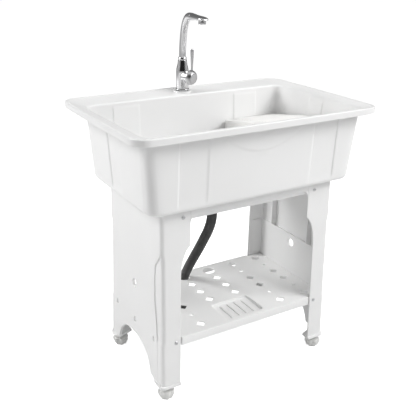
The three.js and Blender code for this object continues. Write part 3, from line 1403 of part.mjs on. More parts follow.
function spoutPipe() {
  const path = spoutPath();
  const section = new THREE.Shape();
  section.absarc(0, 0, PIPE_RADIUS, 0, Math.PI * 2);
  const tube = solid(
    new THREE.ExtrudeGeometry(section, {
      steps: 16,
      curveSegments: 7,
      extrudePath: path,
      bevelEnabled: false,
    }),
  );
  const collarTop = BODY_TOP_Z + CLEARANCE + COLLAR_HEIGHT;
  const spigot = lathe([
    [0, BODY_TOP_Z - SPIGOT_DEPTH + CLEARANCE],
    [SPIGOT_RADIUS, BODY_TOP_Z - SPIGOT_DEPTH + CLEARANCE],
    [SPIGOT_RADIUS, collarTop - 1],
    [0, collarTop - 1],
  ], 24);
  const trim = box(-40, 40, -40, 40, 0, collarTop + CLEARANCE);
  const end = box(-40, 40, HEAD_START_Y - 20, HEAD_START_Y, SPOUT_TOP_Z - 40, SPOUT_TOP_Z + 40);
  return tube.subtract(trim).subtract(end).add(spigot).add(rod(PIPE_RADIUS - 1, collarTop - 2, collarTop + 3));
}

function spoutCollar() {
  const low = BODY_TOP_Z + CLEARANCE;
  const inner = SPIGOT_RADIUS + SPIGOT_CLEARANCE;
  return lathe([
    [inner, low],
    [COLLAR_RADIUS, low],
    [COLLAR_RADIUS + 0.6, low + 3],
    [COLLAR_RADIUS - 1.2, low + COLLAR_HEIGHT - 2.3],
    [inner + 1, low + COLLAR_HEIGHT - 2.3],
    [inner, low],
  ]);
}

// Flat, wide spout head, drawn as levels along -Y and bent slightly downwards.
function spoutHead() {
  const startY = HEAD_START_Y - CLEARANCE;
  const endY = startY - HEAD_LENGTH + 12;
  const levels = [];
  const stations = [
    [0, PIPE_RADIUS, PIPE_RADIUS, 0],
    [0.12, PIPE_RADIUS + 1.5, PIPE_RADIUS - 1.5, 0],
    [0.32, HEAD_WIDTH / 2 - 1, HEAD_THICKNESS / 2 + 1, -0.5],
    [0.62, HEAD_WIDTH / 2, HEAD_THICKNESS / 2, -1],
    [0.86, HEAD_WIDTH / 2 - 1, HEAD_THICKNESS / 2 - 1, -2],
    [0.97, HEAD_WIDTH / 2 - 5, HEAD_THICKNESS / 2 - 2.6, -3],
    [1, HEAD_WIDTH / 2 - 8, HEAD_THICKNESS / 2 - 4.5, -3.2],
  ];
  const SIDES = 20;
  for (const [t, halfWidth, halfHeight, dz] of stations) {
    const y = mix(startY, endY, t);
    const level = [];
    for (let i = 0; i < SIDES; i++) {
      const a = (2 * Math.PI * i) / SIDES;
      const [c, s] = [Math.cos(a), Math.sin(a)];
      const soften = mix(1, 0.75, Math.min(1, t * 3));
      const x = halfWidth * Math.sign(c) * Math.abs(c) ** soften;
      const z = halfHeight * Math.sign(s) * Math.abs(s) ** soften;
      level.push(new THREE.Vector3(x, y, SPOUT_TOP_Z + dz + z));
    }
    levels.push(level);
  }
  return loft(levels, ["x", "z"]);
}

const OUTLET_DROP = HEAD_THICKNESS / 2 + 1.5;

function aerator() {
  const top = SPOUT_TOP_Z - OUTLET_DROP;
  const low = top - AERATOR_HEIGHT;
  return lathe([
    [AERATOR_RADIUS - 2.4, low],
    [AERATOR_RADIUS - 0.8, low],
    [AERATOR_RADIUS, low + 1.2],
    [AERATOR_RADIUS, top],
    [AERATOR_RADIUS - 2.4, top],
    [AERATOR_RADIUS - 2.4, low],
  ], 24);
}

function aeratorScreen() {
  const low = SPOUT_TOP_Z - OUTLET_DROP - AERATOR_HEIGHT + 1;
  const disc = rod(AERATOR_RADIUS - 2.4 - CLEARANCE, low, low + 3, 20);
  let screen = disc;
  for (let i = 0; i < 6; i++) {
    screen = screen.subtract(
      rod(1.4, low - 1, low + 1.6, 6)
        .translate([4.6, 0, 0])
        .rotate([0, 0, i * 60]),
    );
  }
  return screen;
}

// ---------- assembly ----------
const sink = new THREE.Group();
part("basin", makeBasin(), WHITE_PLASTIC, sink);
part("washboard", makeWashboard(), BOARD_PLASTIC, sink);
part("left_side_panel", makePanel(-1), SATIN_PLASTIC, sink);
part("right_side_panel", makePanel(1), SATIN_PLASTIC, sink);
part("front_rail", makeRail(-1), SATIN_PLASTIC, sink);
part("rear_rail", makeRail(1), SATIN_PLASTIC, sink);
part("shelf", makeShelf(), SATIN_PLASTIC, sink);

const sideName = (side) => (side < 0 ? "left" : "right");
const endName = (sy) => (sy < 0 ? "front" : "rear");
const footShape = geometryOf(makeFoot());
const screwShape = geometryOf(makeScrew());
for (const side of [-1, 1]) {
  for (const sy of [-1, 1]) {
    const corner = `${endName(sy)}_${sideName(side)}`;
    part(`foot_${corner}`, footShape, FOOT_PLASTIC, sink, [...footAxis(side, sy), 0]);
    const [railPlace, shelfPlace] = panelScrews(side, sy);
    for (const [label, place] of [["rail", railPlace], ["shelf", shelfPlace]]) {
      const screw = part(`${label}_screw_${corner}`, screwShape, STEEL, sink, place);
      screw.rotation.x = (sy * Math.PI) / 2;
    }
  }
}

const drain = new THREE.Group();
drain.position.set(DRAIN_X, DRAIN_Y, 0);
sink.add(drain);
part("drain_flange", drainFlange(), STEEL, drain);
part(
  "drain_gasket",
  ring(
    DRAIN_NUT_RADIUS - 1,
    DRAIN_TUBE_RADIUS + CLEARANCE,
    DRAIN_GASKET_Z - DRAIN_GASKET_THICKNESS,
    DRAIN_GASKET_Z,
  ),
  BLACK_RUBBER,
  drain,
);
part("drain_locknut", drainNut(), SATIN_PLASTIC, drain);
part("strainer_basket", strainerBasket(), STEEL, drain);
part("drain_tailpiece", tailpiece(), SATIN_PLASTIC, drain);
part("hose_coupling", coupling(), SATIN_PLASTIC, drain);
part("drain_hose", makeHose(), GREY_HOSE, sink);
const [cuffX, cuffY, hoseEndZ] = HOSE_ROUTE.at(-1);
const cuffTop = hoseEndZ - CLEARANCE;
part(
  "hose_end_cuff",
  ring(HOSE_DIAMETER / 2 + 1, HOSE_DIAMETER / 2 - CUFF_WALL, cuffTop - CUFF_LENGTH, cuffTop),
  BLACK_RUBBER,
  sink,
  [cuffX, cuffY, 0],
);

const tap = new THREE.Group();
tap.position.set(0, TAP_Y, TAP_SEAT_Z);
sink.add(tap);
const gasketTop = CLEARANCE + TAP_GASKET_THICKNESS;
part(
  "tap_gasket",
  ring(BASE_RING_RADIUS - 1, SHANK_RADIUS + CLEARANCE, CLEARANCE, gasketTop),
  BLACK_RUBBER,
  tap,
);
part(
  "tap_base_ring",
  ring(
    BASE_RING_RADIUS,
    SHANK_RADIUS + CLEARANCE,
    gasketTop + CLEARANCE,
    gasketTop + CLEARANCE + BASE_RING_HEIGHT,
  ),
  CHROME,
  tap,
);
const shankTop = BODY_BASE_Z - CLEARANCE;
part(
  "tap_shank",
  ring(SHANK_RADIUS, SHANK_BORE_RADIUS, shankTop - SHANK_LENGTH, shankTop, 24),
  BRASS,
  tap,
);
const deckBottom = -TAP_SEAT_THICKNESS - CLEARANCE;
part(
  "tap_clamp_washer",
  ring(SHANK_RADIUS + 11, SHANK_RADIUS + CLEARANCE, deckBottom - 2, deckBottom),
  STEEL,
  tap,
);
const nutTop = deckBottom - 2 - CLEARANCE;
part(
  "tap_nut",
  rod(SHANK_RADIUS + 8, nutTop - 9, nutTop, 6).subtract(
    rod(SHANK_RADIUS + CLEARANCE, nutTop - 10, nutTop + 1),
  ),
  BRASS,
  tap,
);

const mixer = new THREE.Group();
mixer.rotation.z = -Math.PI / 2 + TAP_TURN;
tap.add(mixer);
part("tap_body", tapBody(), CHROME, mixer);
const lever = new THREE.Group();
lever.position.set(LEVER_PIVOT, 0, LEVER_AXIS_Z);
mixer.add(lever);
part("tap_cartridge", cartridge(), BRASS, mixer, [0, 0, LEVER_AXIS_Z]);
part("lever_stem", leverStem(), BRASS, mixer, [0, 0, LEVER_AXIS_Z]);
part("lever_cap", leverCap(), CHROME, lever);
part("lever_stick", leverStick(), CHROME, lever, [STICK_SEAT_X, 0, 0]);

part("spout_collar", spoutCollar(), CHROME, tap);
part("spout_pipe", spoutPipe(), CHROME, tap);
part("spout_head", spoutHead(), CHROME, tap);
part("aerator", aerator(), CHROME, tap, [0, -SPOUT_REACH, 0]);
part("aerator_screen", aeratorScreen(), SATIN_PLASTIC, tap, [0, -SPOUT_REACH, 0]);

export default sink;
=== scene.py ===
# Looks of a free-standing utility laundry sink, in metres, with +Z up and its front towards -Y.
# The pieces come in the order in which the sink is put together; their sizes are in millimetres.
import math

import bmesh
import bpy
import numpy as np
from mathutils import Matrix, Vector
from mathutils.geometry import delaunay_2d_cdt


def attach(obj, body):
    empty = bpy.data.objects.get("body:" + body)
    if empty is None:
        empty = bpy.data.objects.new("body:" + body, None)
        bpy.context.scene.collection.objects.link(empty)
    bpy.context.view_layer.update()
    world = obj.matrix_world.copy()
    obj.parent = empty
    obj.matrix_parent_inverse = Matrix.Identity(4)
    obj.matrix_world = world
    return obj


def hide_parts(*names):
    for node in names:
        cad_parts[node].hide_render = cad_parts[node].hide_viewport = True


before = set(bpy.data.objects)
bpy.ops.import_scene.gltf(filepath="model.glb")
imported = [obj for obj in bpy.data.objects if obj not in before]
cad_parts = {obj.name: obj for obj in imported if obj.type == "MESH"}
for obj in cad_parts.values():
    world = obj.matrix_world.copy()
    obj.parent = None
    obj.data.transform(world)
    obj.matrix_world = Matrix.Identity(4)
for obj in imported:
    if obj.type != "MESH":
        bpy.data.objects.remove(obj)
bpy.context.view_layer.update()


# ---------- photographer's camera ----------
# A plain camera at the height of a standing person's chest, left of the sink's front. Its place,
# turn and frame are fitted to the photograph, worked in millimetres until the last step.
MM = 0.001
azimuth, elevation, roll = (math.radians(a) for a in (-30.746, 22.09, -0.75))
camera_distance = 1985.744
focal_pixels = 641.178
frame_pixels = 416
frame_centre = (195.24, 209.301)
camera_target = Vector((-78.424, 0.0, 499.824))
towards_camera = Vector(
    (
        math.sin(azimuth) * math.cos(elevation),
        -math.cos(azimuth) * math.cos(elevation),
        math.sin(elevation),
    )
)
level_right = (-towards_camera).cross(Vector((0, 0, 1))).normalized()
level_down = (-towards_camera).cross(level_right)
camera_right = math.cos(roll) * level_right + math.sin(roll) * level_down
camera_down = -math.sin(roll) * level_right + math.cos(roll) * level_down
lens = bpy.data.cameras.new("photo_camera")
lens.sensor_width = 36
lens.lens = focal_pixels / frame_pixels * lens.sensor_width
lens.shift_x = (frame_pixels / 2 - frame_centre[0]) / frame_pixels
lens.shift_y = (frame_centre[1] - frame_pixels / 2) / frame_pixels
lens.clip_end = 100
camera = bpy.data.objects.new("photo_camera", lens)
camera_turn = Matrix((camera_right, -camera_down, towards_camera)).transposed().to_4x4()
camera_turn.translation = (camera_target + towards_camera * camera_distance) * MM
camera.matrix_world = camera_turn
bpy.context.scene.collection.objects.link(camera)
bpy.context.scene.camera = camera


# ---------- white studio ----------
# A white room with a large soft lamp behind the sink's left end, another in front of its right
# end and a faint one overhead, so that the flat faces are lit and the rounded corner between
# them falls into shade.
bpy.context.scene.view_settings.view_transform = "Standard"
ROOM_LIGHT = 0.3
WHITE = (1, 1, 1, 1)
# what polished metal mirrors: a grey room, light at the sides and black behind the camera
TOWARDS_LENS = (-0.58, -1.08, 0.0)
MIRRORED_TONES = (
    (0.0, 0.16),
    (0.22, 0.3),
    (0.42, 0.75),
    (0.62, 0.35),
    (0.8, 0.55),
    (0.9, 0.04),
    (1.0, 0.02),
)


def fill(tree, node, values):
    """Sets a node's inputs, or wires them where the value is another node's output."""
    for name, value in values.items():
        if isinstance(value, bpy.types.NodeSocket):
            tree.links.new(value, node.inputs[name])
        else:
            node.inputs[name].default_value = value
    return node


def wired(tree, kind, values=None, **settings):
    made = tree.nodes.new(kind)
    for name, value in settings.items():
        setattr(made, name, value)
    return fill(tree, made, values or {})


def toned(ramp, tones):
    """Sets a colour ramp's stops from pairs of a place and a colour."""
    for number, (place, colour) in enumerate(tones):
        stop = ramp.elements[number] if number < 2 else ramp.elements.new(place)
        stop.position = place
        stop.color = (*colour, 1)


room = bpy.data.worlds.new("white_room")
bpy.context.scene.world = room
room.use_nodes = True
sky = room.node_tree
sky.nodes.clear()
ray = wired(sky, "ShaderNodeLightPath")
even_light = wired(sky, "ShaderNodeBackground", {"Color": WHITE, "Strength": ROOM_LIGHT})
white_wall = wired(sky, "ShaderNodeBackground", {"Color": WHITE, "Strength": 1})
direction = wired(sky, "ShaderNodeTexCoord").outputs["Generated"]
aim = wired(sky, "ShaderNodeVectorMath", {0: direction, 1: TOWARDS_LENS}, operation="DOT_PRODUCT")
share = wired(sky, "ShaderNodeMapRange", {"Value": aim.outputs["Value"], "From Min": -1})
mirror_tone = wired(sky, "ShaderNodeValToRGB", {"Fac": share.outputs["Result"]})
toned(mirror_tone.color_ramp, [(place, (tone, tone, tone)) for place, tone in MIRRORED_TONES])
mirrored = wired(sky, "ShaderNodeBackground", {"Color": mirror_tone.outputs["Color"]})
seen = even_light
for kind_of_ray, wall in (
    ("Is Glossy Ray", mirrored),
    ("Is Transmission Ray", white_wall),
    ("Is Camera Ray", white_wall),
):
    choice = {"Fac": ray.outputs[kind_of_ray], 1: seen.outputs[0], 2: wall.outputs[0]}
    seen = wired(sky, "ShaderNodeMixShader", choice)
wired(sky, "ShaderNodeOutputWorld", {"Surface": seen.outputs[0]})

SOFT_LAMPS = (
    ("lamp_behind_left", (-2.5, 1.7, 2.4), (1.5, 1.5), 76),
    ("lamp_front_right", (2.1, -2.4, 3.4), (2.6, 2.2), 138),
    ("lamp_overhead", (0.0, -0.3, 3.3), (2.0, 1.6), 5),
)
for lamp_name, place, size, watts in SOFT_LAMPS:
    lamp_data = bpy.data.lights.new(lamp_name, "AREA")
    lamp_data.shape = "RECTANGLE"
    lamp_data.size, lamp_data.size_y = size
    lamp_data.energy = watts
    lamp = bpy.data.objects.new(lamp_name, lamp_data)
    lamp.location = place
    aim = Vector((0, 0, 0.55)) - Vector(place)
    lamp.rotation_euler = aim.to_track_quat("-Z", "Y").to_euler()
    bpy.context.scene.collection.objects.link(lamp)

FLOOR_REACH = 60.0
FLOOR_COLOUR = (0.82, 0.82, 0.82, 1)
FLOOR_GLOW, FLOOR_GLOW_IN_METAL = 0.76, 0.2
floor_mesh = bpy.data.meshes.new("studio_floor")
floor_corners = [(-FLOOR_REACH, -FLOOR_REACH, 0), (FLOOR_REACH, -FLOOR_REACH, 0)]
floor_corners += [(FLOOR_REACH, FLOOR_REACH, 0), (-FLOOR_REACH, FLOOR_REACH, 0)]
floor_mesh.from_pydata(floor_corners, [], [(0, 1, 2, 3)])
floor = bpy.data.objects.new("studio_floor", floor_mesh)
bpy.context.scene.collection.objects.link(floor)
floor_paint = bpy.data.materials.new("studio_floor")
floor_paint.use_nodes = True
paint = floor_paint.node_tree
paint.nodes.clear()
floor_matt = wired(paint, "ShaderNodeBsdfDiffuse", {"Color": FLOOR_COLOUR})
ray = wired(paint, "ShaderNodeLightPath")
glow = {0: ray.outputs["Is Glossy Ray"], 1: FLOOR_GLOW_IN_METAL}
in_metal = wired(paint, "ShaderNodeMath", glow, operation="MULTIPLY")
glow = {0: ray.outputs["Is Camera Ray"], 1: FLOOR_GLOW, 2: in_metal.outputs[0]}
lift = wired(paint, "ShaderNodeMath", glow, operation="MULTIPLY_ADD")
floor_lift = wired(paint, "ShaderNodeEmission", {"Color": WHITE, "Strength": lift.outputs[0]})
floor_sum = wired(paint, "ShaderNodeAddShader", {0: floor_matt.outputs[0], 1: floor_lift.outputs[0]})
wired(paint, "ShaderNodeOutputMaterial", {"Surface": floor_sum.outputs[0]})
floor_mesh.materials.append(floor_paint)


# ---------- drain hose ----------
# A corrugated hose of grey polypropylene, pushed on the drain's coupling. It hangs back and a
# little to the left, goes through the round hole in the shelf and ends just above the floor.
HOSE_ROUTE = (
    (-0.03, -0.0216, 0.5236),
    (-0.03, -0.0216, 0.484768),
    (-0.030989, -0.0181, 0.455644),
    (-0.033954, -0.007598, 0.423284),
    (-0.037909, 0.009204, 0.389306),
    (-0.041863, 0.030206, 0.350474),
    (-0.045817, 0.054009, 0.310024),
    (-0.04819, 0.077811, 0.271839),
    (-0.049178, 0.097414, 0.240126),
    (-0.049574, 0.110015, 0.216827),
    (-0.049771, 0.117016, 0.196),
    (-0.050167, 0.121216, 0.172),
    (-0.050958, 0.121916, 0.14),
    (-0.051749, 0.121916, 0.11),
    (-0.051749, 0.121916, 0.08),
    (-0.051749, 0.121916, 0.046),
)
HOSE_RADIUS = 16.0
HOSE_RIB_DEPTH = 2.0
HOSE_RIB_PITCH = 4.4
HOSE_BORE = 12.8


def moulded(name, colour, roughness, grain=0.02, drift=0.012, speckle=900, coat=0.0):
    """Moulded plastic: a faint drift of colour, a fine grain and slightly uneven gloss."""
    material = bpy.data.materials.new(name)
    material.use_nodes = True
    tree = material.node_tree
    place = wired(tree, "ShaderNodeTexCoord").outputs["Object"]
    cloud = wired(tree, "ShaderNodeTexNoise", {"Vector": place, "Scale": 5, "Detail": 3}).outputs["Fac"]
    tone = wired(tree, "ShaderNodeValToRGB", {"Fac": cloud})
    darker = [max(0.0, c - drift) for c in colour]
    lighter = [min(1.0, c + drift) for c in colour]
    toned(tone.color_ramp, ((0.3, darker), (0.7, lighter)))
    spread = {"Value": cloud, "To Min": roughness - 0.05, "To Max": roughness + 0.06}
    gloss = wired(tree, "ShaderNodeMapRange", spread)
    fine = wired(tree, "ShaderNodeTexNoise", {"Vector": place, "Scale": speckle, "Detail": 2})
    relief = {"Height": fine.outputs["Fac"], "Strength": grain, "Distance": 0.0006}
    surface = {
        "IOR": 1.48,
        "Coat Weight": coat,
        "Base Color": tone.outputs["Color"],
        "Roughness": gloss.outputs["Result"],
        "Normal": wired(tree, "ShaderNodeBump", relief).outputs["Normal"],
    }
    fill(tree, tree.nodes["Principled BSDF"], surface)
    return material


def fitted(name, shapes, material, body, cad_nodes, crease=32):
    """Makes one piece of closed shapes, given as (points in mm, faces), and fits it to its body."""
    points, faces = [], []
    for shape_points, shape_faces in shapes:
        start = len(points)
        points += [tuple(float(c) * MM for c in p) for p in shape_points]
        faces += [tuple(start + i for i in face) for face in shape_faces]
    mesh = bpy.data.meshes.new(name)
    mesh.from_pydata(points, [], faces)
    work = bmesh.new()
    work.from_mesh(mesh)
    bmesh.ops.remove_doubles(work, verts=work.verts, dist=2e-7)
    bmesh.ops.recalc_face_normals(work, faces=work.faces)
    work.to_mesh(mesh)
    work.free()
    mesh.shade_smooth()
    mesh.set_sharp_from_angle(angle=math.radians(crease))
    mesh.materials.append(material)
    piece = bpy.data.objects.new(name, mesh)
    bpy.context.scene.collection.objects.link(piece)
    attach(piece, body)
    if cad_nodes:
        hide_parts(*cad_nodes)
    return piece


def hanging_line(points, samples):
    """Centripetal Catmull-Rom curve through the points, evenly spaced by length."""
    p = np.asarray(points, float)
    p = np.vstack([2 * p[0] - p[1], p, 2 * p[-1] - p[-2]])
    dense = []
    for k in range(1, len(p) - 2):
        p0, p1, p2, p3 = p[k - 1], p[k], p[k + 1], p[k + 2]
        t0 = 0.0
        t1 = t0 + np.linalg.norm(p1 - p0) ** 0.5
        t2 = t1 + np.linalg.norm(p2 - p1) ** 0.5
        t3 = t2 + np.linalg.norm(p3 - p2) ** 0.5
        for t in np.linspace(t1, t2, 24, endpoint=False):
            a1 = (t1 - t) / (t1 - t0) * p0 + (t - t0) / (t1 - t0) * p1
            a2 = (t2 - t) / (t2 - t1) * p1 + (t - t1) / (t2 - t1) * p2
            a3 = (t3 - t) / (t3 - t2) * p2 + (t - t2) / (t3 - t2) * p3
            b1 = (t2 - t) / (t2 - t0) * a1 + (t - t0) / (t2 - t0) * a2
            b2 = (t3 - t) / (t3 - t1) * a2 + (t - t1) / (t3 - t1) * a3
            dense.append((t2 - t) / (t2 - t1) * b1 + (t - t1) / (t2 - t1) * b2)
    dense.append(p[-2])
    dense = np.array(dense)
    steps = np.concatenate([[0], np.cumsum(np.linalg.norm(np.diff(dense, axis=0), axis=1))])
    even = np.linspace(0, steps[-1], samples)
    return np.stack([np.interp(even, steps, dense[:, i]) for i in range(3)], axis=1), steps[-1]


def skinned(rings, closed=False):
    """Skin over rings of equally many points; the ends are capped unless the rings close."""
    rings = [np.asarray(ring, float) for ring in rings]
    count = len(rings[0])
    faces = []
    spans = len(rings) if closed else len(rings) - 1
    for k in range(spans):
        a, b = k * count, ((k + 1) % len(rings)) * count
        faces += [(a + i, a + (i + 1) % count, b + (i + 1) % count, b + i) for i in range(count)]
    if not closed:
        last = (len(rings) - 1) * count
        faces += [tuple(range(count)), tuple(last + i for i in range(count))]
    return np.vstack(rings), faces


def all_turns(sides):
    """The turns of evenly spaced points on a circle, in radians."""
    return 2 * np.pi * np.arange(sides) / sides


def rings_along(line, radii, sides):
    """Round rings about a line, one for each of its points."""
    line = np.asarray(line, float)
    along = np.gradient(line, axis=0)
    along /= np.linalg.norm(along, axis=1)[:, None]
    across = np.tile([1.0, 0.0, 0.0], (len(line), 1))
    across -= along * np.sum(along * across, axis=1)[:, None]
    across /= np.linalg.norm(across, axis=1)[:, None]
    up = np.cross(along, across)
    turn = all_turns(sides)
    out = np.cos(turn)[None, :, None] * across[:, None] + np.sin(turn)[None, :, None] * up[:, None]
    return line[:, None] + out * np.asarray(radii)[:, None, None]


hose_plastic = moulded("hose_plastic", (0.075, 0.075, 0.075), 0.42, drift=0.01)
hose_line, hose_length = hanging_line([tuple(c / MM for c in p) for p in HOSE_ROUTE], 200)
hose_ribs = round(hose_length / HOSE_RIB_PITCH)
rib_profile = ((0.0, 0.0), (0.12, 0.7), (0.27, 1.0), (0.55, 1.0), (0.7, 0.7), (0.82, 0.0))
stations, hose_radii = [], []
for rib in range(hose_ribs):
    for share, rise in rib_profile:
        stations.append((rib + share) / hose_ribs * hose_length)
        hose_radii.append(HOSE_RADIUS - HOSE_RIB_DEPTH * (1 - rise))
stations.append(hose_length)
hose_radii.append(HOSE_RADIUS - HOSE_RIB_DEPTH)
run = np.linspace(0, hose_length, len(hose_line))
ribbed_line = np.stack([np.interp(stations, run, hose_line[:, i]) for i in range(3)], axis=1)
bore_line = hose_line[:: 3 if len(hose_line) % 3 == 1 else 1]
hose_rings = list(rings_along(ribbed_line, hose_radii, 32))
hose_rings += list(rings_along(bore_line, [HOSE_BORE] * len(bore_line), 32))[::-1]
hose = fitted("hose", [skinned(hose_rings, closed=True)], hose_plastic, "stand", ["drain_hose"], crease=70)
# a short soft cuff closes the hose's lower end
rubber = moulded("rubber", (0.03, 0.03, 0.03), 0.7, grain=0.1)
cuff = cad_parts["hose_end_cuff"]
cuff.data.materials.clear()
cuff.data.materials.append(rubber)


# ---------- basin ----------
# One piece of white polypropylene, injection moulded: a deep bowl with shallow sunk panels, a
# half-moon pad at the front, a rolled rim with a skirt, and a deck with a soap dish and tap seat.
RIM_HALF_LENGTH, RIM_HALF_DEPTH = 400.0, 266.0
RIM_TOP = 826.0
RIM_SKIRT = 19.0
RIM_CORNER = 46.0
RIM_UNDERSIDE = 819.0
RIM_PLATE_TOP = 823.5
BEAD_WIDTH = 9.0
BASIN_WALL = 4.5
SIDE_BOW = 2.5
BASIN_MIDDLE_Y = -21.6
BOWL_BASE = 598.0
BOWL_CORNER = 32.0
BOWL_BOTTOM_RADIUS = 15.0
BOWL_LIP_RADIUS = 8.0
END_FALL, DECK_FALL = 3.7, 7.0
FLUTES = ((-265.0, -172.0), (172.0, 265.0))
END_FLUTE_HALF = 35.0
FLUTE_RISE = -2.4
PAD_HALF_WIDTH, PAD_DROP, PAD_RISE, PAD_TOP = 134.0, 61.0, 2.2, 800.0
DISH_X, DISH_Y, DISH_HALF = -212.0, 218.0, (49.0, 25.0)
DISH_CORNER = 14.0
DISH_FLOOR = 812.2
TAP_AXIS_Y = 224.0
TAP_SEAT = 822.5
DRAIN_X, DRAIN_HOLE = -30.0, 26.3


def between(a, b, t):
    return a + (b - a) * t


def smooth(low, high, value):
    t = np.clip((np.asarray(value, float) - low) / (high - low), 0, 1)
    return t * t * (3 - 2 * t)


def bowl_size(z, inset=0.0):
    share = (z - BOWL_BASE) / (RIM_UNDERSIDE - BOWL_BASE)
    half = 342.0 + 17.0 * share - inset
    depth = 199.0 + 10.5 * share - inset
    return half, BASIN_MIDDLE_Y - depth, BASIN_MIDDLE_Y + depth


def flute_height(s, edges):
    rise = np.zeros_like(s)
    for start, end in edges:
        rise = np.maximum(rise, smooth(start, start + 5, s) * (1 - smooth(end - 5, end, s)))
    return rise


# places along a long side and an end, close together where a shape needs it
long_side = np.concatenate(
    [
        np.arange(-140, 140.1, 4.5),
        np.arange(-282, -140, 7.0),
        np.arange(144, 284, 7.0),
        np.arange(DISH_X - 52, DISH_X + 53, 2.1),
        *[np.arange(edge - 0.6, edge + 7, 1.1) for start, end in FLUTES for edge in (start, end - 6)],
    ]
)
long_side = np.unique(np.round(long_side, 1))
long_side = long_side[np.concatenate([[True], np.diff(long_side) > 0.7])]
end_side = np.unique(
    np.concatenate(
        [
            np.arange(-150, 151, 10.0),
            *[np.arange(edge - 0.6, edge + 7, 1.3) for edge in (-END_FLUTE_HALF, END_FLUTE_HALF - 6)],
        ]
    )
)
CORNER_STEPS = 10


def basin_ring(half, front, back, radius, z, back_z=None, flute=0.0, bow=SIDE_BOW):
    """One level of the basin, anticlockwise from its front left corner."""
    back_z = z if back_z is None else back_z
    middle, depth = (front + back) / 2, (back - front) / 2
    reach = np.linspace(0.25, 0.9, 3)
    tail = (half - radius - 284) * reach + 284
    xs = np.concatenate([-tail[::-1], long_side, tail])
    to_front = between(BASIN_MIDDLE_Y - 150, front + radius, reach)
    to_back = between(BASIN_MIDDLE_Y + 150, back - radius, reach)
    ys = np.concatenate([to_front[::-1], BASIN_MIDDLE_Y + end_side, to_back])
    front_out = flute * flute_height(xs, FLUTES) + bow * (1 - (xs / half) ** 2)
    end_out = flute * flute_height(ys - BASIN_MIDDLE_Y, ((-END_FLUTE_HALF, END_FLUTE_HALF),))
    end_out = end_out + bow * (1 - ((ys - middle) / depth) ** 2)
    turn = np.linspace(0, np.pi / 2, CORNER_STEPS + 1)

    def corner(x, y, start):
        return np.stack([x + radius * np.cos(start + turn), y + radius * np.sin(start + turn)], axis=1)

    sides = [
        corner(-half + radius, front + radius, np.pi),
        np.stack([xs, front - front_out], axis=1),
        corner(half - radius, front + radius, -np.pi / 2),
        np.stack([half + end_out, ys], axis=1),
        corner(half - radius, back - radius, 0),
        np.stack([xs, back + front_out], axis=1)[::-1],
        corner(-half + radius, back - radius, np.pi / 2),
        np.stack([-half - end_out, ys], axis=1)[::-1],
    ]
    plan = np.vstack(sides)
    towards_back = np.clip((plan[:, 1] - middle) / depth, 0, 1)
    return np.column_stack([plan, z + (back_z - z) * towards_back])


def wall_ring(z, inset=0.0):
    fade = smooth(613, 626, z) * (1 - smooth(794, 806, z))
    ring = basin_ring(*bowl_size(z, inset), BOWL_CORNER - inset, z, flute=FLUTE_RISE * float(fade))
    if inset == 0:
        radius = (PAD_HALF_WIDTH**2 + PAD_DROP**2) / (2 * PAD_DROP)
        from_edge = radius - np.hypot(ring[:, 0], z - (PAD_TOP - PAD_DROP + radius))
        rise = PAD_RISE * smooth(0, 3.5, from_edge) * (1 - smooth(PAD_TOP, PAD_TOP + 5, z))
        ring[:, 1] -= np.where(ring[:, 1] < -150, rise, 0)
    return ring


def rim_ring(inset, z, back_z=None):
    return basin_ring(
        RIM_HALF_LENGTH - SIDE_BOW - inset,
        -RIM_HALF_DEPTH + SIDE_BOW + inset,
        RIM_HALF_DEPTH - SIDE_BOW - inset,
        max(RIM_CORNER - inset, 4.0),
        z,
        back_z,
    )


def drain_ring(like, radius, z):
    """A round ring about the drain with a point on the way to each point of another ring."""
    turn = np.arctan2(like[:, 1] - BASIN_MIDDLE_Y, like[:, 0] - DRAIN_X)
    x, y = DRAIN_X + radius * np.cos(turn), BASIN_MIDDLE_Y + radius * np.sin(turn)
    return np.column_stack([x, y, np.full(len(like), z)])


def foot_ring(degrees, base, wall):
    a = math.radians(degrees)
    inset = wall + BOWL_BOTTOM_RADIUS * (1 - math.sin(a))
    z = base + BOWL_BOTTOM_RADIUS * (1 - math.cos(a))
    return basin_ring(*bowl_size(z, inset), BOWL_CORNER - inset / 2, z)


def soap_dish(ring):
    """Sinks the soap dish, with its draining bars, into points of the deck."""
    dx, dy = ring[:, 0] - DISH_X, ring[:, 1] - DISH_Y
    qx = np.abs(dx) - DISH_HALF[0] + DISH_CORNER
    qy = np.abs(dy) - DISH_HALF[1] + DISH_CORNER
    edge = np.hypot(np.maximum(qx, 0), np.maximum(qy, 0)) + np.minimum(np.maximum(qx, qy), 0)
    sink = 1 - smooth(-DISH_CORNER - 3.2, -DISH_CORNER - 0.2, edge)
    bars = np.zeros(len(ring))
    for bar in (-35, -35 / 3, 35 / 3, 35):
        bars = np.maximum(bars, 1 - smooth(1.2, 3.2, np.abs(dx - bar)))
    floor = DISH_FLOOR + 2.0 * bars * (1 - smooth(14.5, 17.5, np.abs(dy)))
    ring = ring.copy()
    ring[:, 2] += sink * (floor - ring[:, 2])
    return ring


